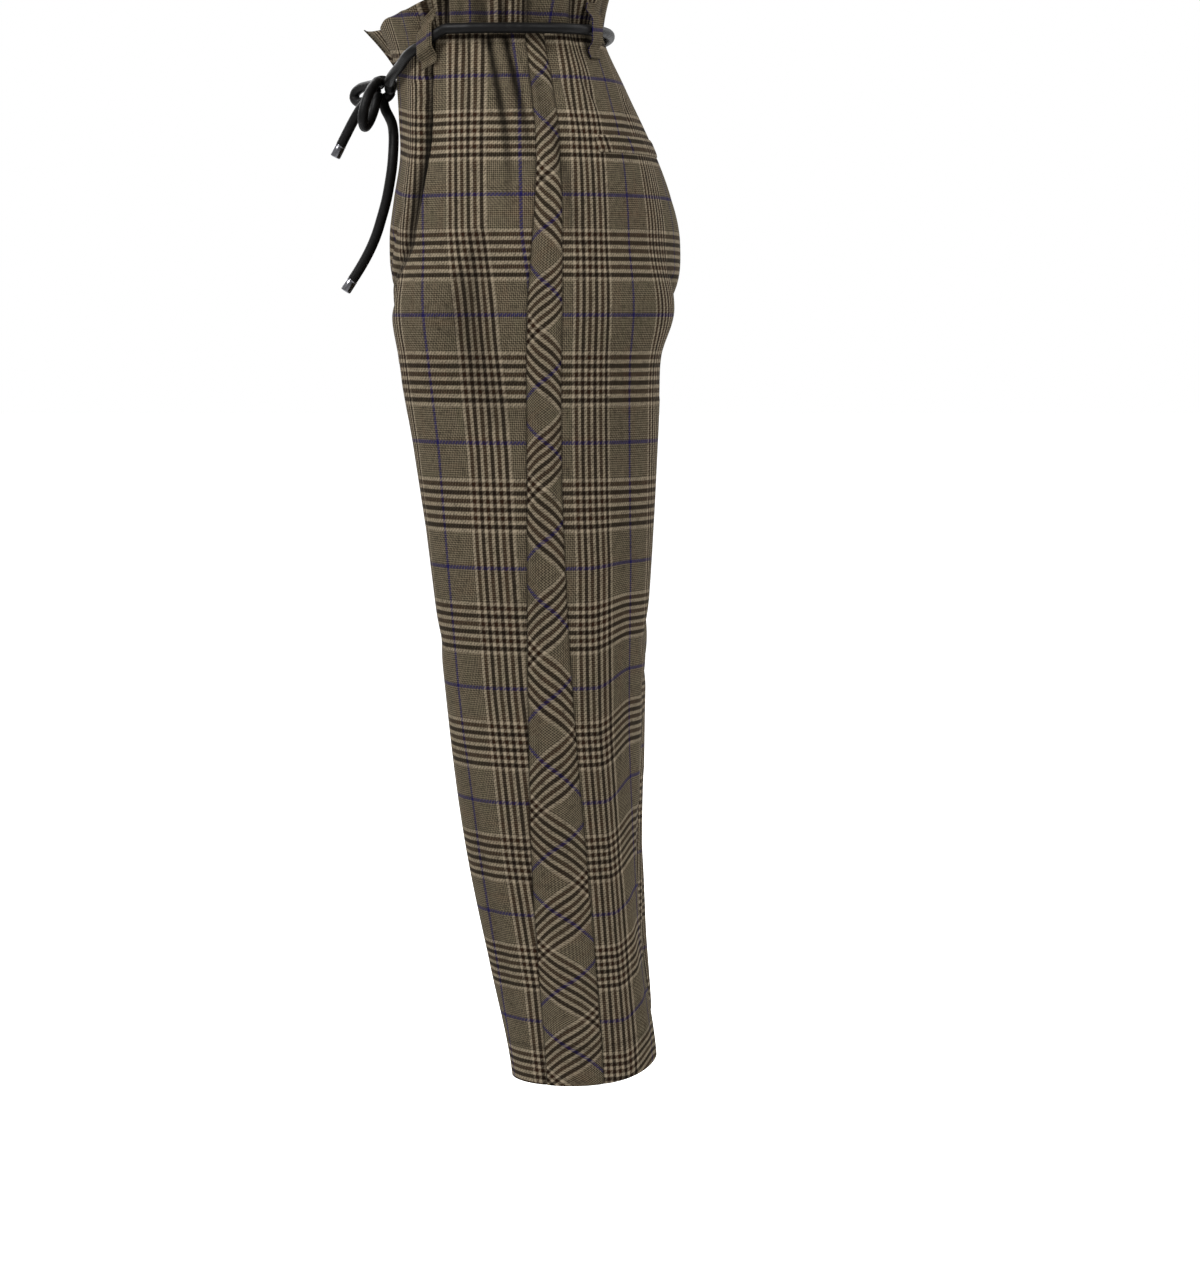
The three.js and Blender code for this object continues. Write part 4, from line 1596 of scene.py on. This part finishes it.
def lathe(name: str, centres: Array, radii: Array, direction: Array, sides: int = 40) -> bpy.types.Object:
    """Turn a profile about a straight line: centre + radius x (across cos a + up sin a).

    Args:
        name: The piece's name.
        centres: Points on the line.
        radii: The radius at each.
        direction: The line's direction.
        sides: Corners of each ring.

    Returns:
        The closed piece.
    """
    across = unit(np.cross(direction, (0.0, 0.0, 1.0)))
    up = np.cross(direction, across)
    angle = np.linspace(0, 2 * math.pi, sides + 1)
    spoke = np.cos(angle)[:, None] * across + np.sin(angle)[:, None] * up
    points = centres[:, None] + radii[:, None, None] * spoke[None]
    piece = make_object(name, points, grid_quads(len(centres), sides + 1))
    weld(piece)
    return piece


# ---- loops and welts ---------------------------------------------------------------------


@dataclass(frozen=True)
class BeltLoop:
    """A belt loop: sewn on the frill above and on the panel below, standing over the cord."""

    name: str
    turn: float
    width: float = 0.018
    thickness: float = 0.0016
    stand: float = 0.0008
    over_cord: float = 0.0014
    above: float = 0.022
    below: float = 0.027
    cord_reach: float = 0.011
    edge_round: float = 0.0007
    end_tuck: float = 0.0006
    columns: int = 13
    rows: int = 60

    def build(self, side: Side, cloth: bpy.types.Material, cord: Cord, frill: Frill) -> bpy.types.Object:
        """Args:
            side: The half.
            cloth: Its material.
            cord: The cord that it holds.
            frill: The frill that it is sewn on.

        Returns:
            The piece.
        """
        edges = FORM.ring(np.array([self.turn - 0.01, self.turn + 0.01]), np.zeros(2))
        half = self.width / 2 * 0.02 / float(np.linalg.norm(edges[1] - edges[0]))
        across, down = np.meshgrid(np.linspace(-1, 1, self.columns), np.linspace(0, 1, self.rows))
        turn = self.turn + half * across
        up = mix(self.above, -self.below, down)
        zero = np.zeros_like(turn)
        outwards = FORM.outwards(turn, zero)
        upper = FORM.ring(turn, zero)
        on_frill = frill.surface(turn, np.maximum(up, 0) / frill.height, side)
        lean = np.sum((on_frill - upper) * outwards, axis=-1).max(axis=1)
        heights = on_frill[..., 2]
        on_frill = upper + lean[:, None, None] * outwards
        on_frill[..., 2] = heights
        down_level = np.maximum(-up, 0) / -FORM.rise_top
        depth = FORM.inwards(turn, FORM.height(down_level))[:, self.columns // 4 :].min(axis=1)
        lower = FORM.ring(turn, down_level)
        growth = np.sum((lower - upper) * outwards, axis=-1)[:, self.columns // 2]
        on_panel = upper + (growth - depth)[:, None, None] * outwards
        on_panel[..., 2] = lower[..., 2]
        sewn = np.where((up > 0)[..., None], on_frill, on_panel)
        cord_point = cord.belt_point(turn)
        middle = cord_point[..., 2] - FORM.ring(turn, zero)[..., 2]
        over = cord_point + (cord.radius + self.over_cord) * outwards
        over[..., 2] = sewn[..., 2]
        share = smooth(1.85 - np.abs(up - middle) / self.cord_reach)
        edge_dip = self.edge_round * bell((1 - np.abs(across)) / 0.10)
        tuck = self.end_tuck * bell((1 - down) / 0.02)
        low = mix(sewn + self.stand * outwards, over, share[..., None])
        high = low + (self.thickness - edge_dip - tuck)[..., None] * outwards
        repeats_across = (turn - self.turn) * TURN_LENGTH / REPEAT_ACROSS + 0.14
        uv = np.stack([repeats_across, -0.02 - up / REPEAT_ALONG], axis=-1)
        name = f"belt_loop_{self.name}_{side.label}"
        piece = shell(f"sewn_{name}", high, low, uv, side)
        dress(piece, cloth, "check_cloth", name)
        return piece


@dataclass(frozen=True)
class BackWelt:
    """The welt of a back pocket, lying on the back panel below the waist."""

    from_turn: float = 0.672
    length: float = 0.118
    top: float = -0.097
    height: float = 0.015
    thickness: float = 0.0012
    stand: float = 0.0006
    edge_round: float = 0.0007
    columns: int = 90
    rows: int = 14

    def build(self, side: Side, cloth: bpy.types.Material) -> bpy.types.Object:
        """Args:
            side: The half.
            cloth: Its material.

        Returns:
            The piece.
        """
        across, down = np.meshgrid(np.linspace(0, 1, self.columns), np.linspace(0, 1, self.rows))
        level = (self.top - down * self.height) / FORM.rise_top
        small = 0.01
        near = FORM.ring(np.array([0.77, 0.79]), level[:1, :1])
        to_turn = self.from_turn + self.length * 2 * small / float(np.linalg.norm(near[0, 1] - near[0, 0]))
        turn = mix(self.from_turn, to_turn, across)
        base = FORM.cloth(turn, level)
        normals = grid_normals(base)
        rounded = bell((0.5 - np.abs(down - 0.5)) / 0.10)
        rounded = rounded + bell((0.5 - np.abs(across - 0.5)) / 0.012)
        crown = self.thickness - self.edge_round * np.minimum(rounded, 1.0)
        high = base + (self.stand + crown)[..., None] * normals
        low = base + self.stand * 0.4 * normals
        uv = np.stack([(across * self.length) / REPEAT_ACROSS + 0.55, blue_phase(base[..., 2])], axis=-1)
        piece = shell(f"pocket_welt_{side.label}", high, low, uv, side)
        dress(piece, cloth, "check_cloth", f"back_pocket_welt_{side.label}")
        return piece


# ---- camera, floor and light -------------------------------------------------------------


@dataclass(frozen=True)
class Studio:
    """The camera, the pale floor and the soft lights."""

    camera_place: tuple[float, float, float] = (3.0, 0.095, -0.26)
    pitch_down: float = 5.67
    lens: float = 90.07
    floor: float = -1.12
    world_behind: float = 0.62
    floor_reach: float = 26.0
    # From this x the floor's painted glow, a fill light, and its colour fade towards the camera.
    floor_start: float = 0.12  # the x at which the floor starts to get darker
    floor_fade: float = 0.75
    lamps: tuple[tuple[tuple[float, float, float], float, float], ...] = (
        ((1.1, -1.1, 1.2), 0.7, 61.0),
        ((1.2, 1.4, 1.2), 0.8, 33.0),
        ((-2.6, -1.6, 1.4), 1.8, 50.0),
        ((-1.8, 2.4, 1.4), 1.6, 34.0),
    )

    def camera(self) -> None:
        """Set up the camera: a long lens at the wearer's left side."""
        data = bpy.data.cameras.new("camera")
        data.lens, data.sensor_width, data.clip_end = self.lens, 36.0, 60.0
        camera = bpy.data.objects.new("camera", data)
        camera.location = self.camera_place
        camera.rotation_euler = (math.radians(90 - self.pitch_down), 0.0, math.radians(90))
        bpy.context.scene.collection.objects.link(camera)
        bpy.context.scene.camera = camera

    def light(self) -> None:
        """Set up the lamps, the world and the floor."""
        self.hang_lamps()
        self.surround()
        self.lay_floor()

    def hang_lamps(self) -> None:
        """Hang soft square lamps, all turned to the middle of the legs."""
        target = Vector((0.0, 0.03, -0.45))
        for index, (place, size, power) in enumerate(self.lamps):
            data = bpy.data.lights.new(f"lamp_{index}", "AREA")
            data.size, data.energy = size, power
            lamp = bpy.data.objects.new(f"lamp_{index}", data)
            lamp.location = place
            lamp.rotation_euler = (Vector(place) - target).to_track_quat("Z", "Y").to_euler()
            bpy.context.scene.collection.objects.link(lamp)

    def surround(self) -> None:
        """Set up a pale world, white ahead of the camera and greyer behind it."""
        world = bpy.data.worlds.new("studio")
        world.use_nodes = True
        tree = world.node_tree
        way = tree.nodes.new("ShaderNodeTexCoord")
        axes = tree.nodes.new("ShaderNodeSeparateXYZ")
        ramp = tree.nodes.new("ShaderNodeMapRange")
        ramp.interpolation_type = "SMOOTHSTEP"
        limits = {"From Min": -0.35, "From Max": 0.55, "To Min": 1.0, "To Max": self.world_behind}
        for socket, value in limits.items():
            ramp.inputs[socket].default_value = value
        tree.links.new(way.outputs["Generated"], axes.inputs[0])
        tree.links.new(axes.outputs[0], ramp.inputs["Value"])
        tree.links.new(ramp.outputs[0], tree.nodes["Background"].inputs["Color"])
        tree.nodes["Background"].inputs["Strength"].default_value = 1.0
        bpy.context.scene.world = world
        bpy.context.scene.view_settings.view_transform = "Standard"

    def lay_floor(self) -> None:
        """Lay a pale floor that glows as a painted fill light, dimmer and a little darker towards the
        camera.
        """
        corners = self.floor_reach * np.array([(-1, -1), (-1, 1), (1, 1), (1, -1)], float)
        points = np.column_stack([corners, np.full(4, self.floor)])
        floor = make_object("floor", points, np.array([[0, 3, 2, 1]]))
        glow_and_paint = Recipe("floor_glow_and_paint")
        near = ((glow_and_paint.place().part(0) - self.floor_start) / self.floor_fade).held()
        glow_and_paint.surface(Base_Color=glow_and_paint.blend(near, (0.90,) * 3, (0.80,) * 3))
        # The floor's emission is a painted glow that adds fill light from below, strongest away from the
        # camera.
        glow_and_paint.surface(Emission_Color=glow_and_paint.blend(near, (1.0,) * 3, (0.35,) * 3))
        glow_and_paint.surface(Emission_Strength=0.45, Roughness=1.0, Specular_IOR_Level=0.0)
        floor.data.materials.append(glow_and_paint.material)


PANELS = (
    Panel("front", Cut.FRONT, columns=110, flat=(0.290, 0.960), area=0.2360),
    Panel("side_strip", Cut.STRIP, columns=14, flat=(0.057, 0.960), area=0.0375),
    Panel("back", Cut.BACK, columns=90, flat=(0.330, 0.960), area=0.2180),
)
LOOPS = (BeltLoop("front", 0.320), BeltLoop("back", 0.800))


def main() -> None:
    """Build the camera, the cord, then each cloth piece of both halves."""
    logging.basicConfig(level=logging.INFO, format="%(name)s %(message)s")
    studio = Studio()
    studio.camera()
    cord = Cord()
    cord.build(CordLeather().make(), TipMetal().make())
    studio.light()
    check = GlenCheck("glen_check_wool").make()
    frill = Frill()
    for side in Side:
        for panel in PANELS:
            panel.build(side, check)
        frill.build(side, check)
        for loop in LOOPS:
            loop.build(side, check, cord, frill)
        BackWelt().build(side, check)


if __name__ == "__main__":
    main()
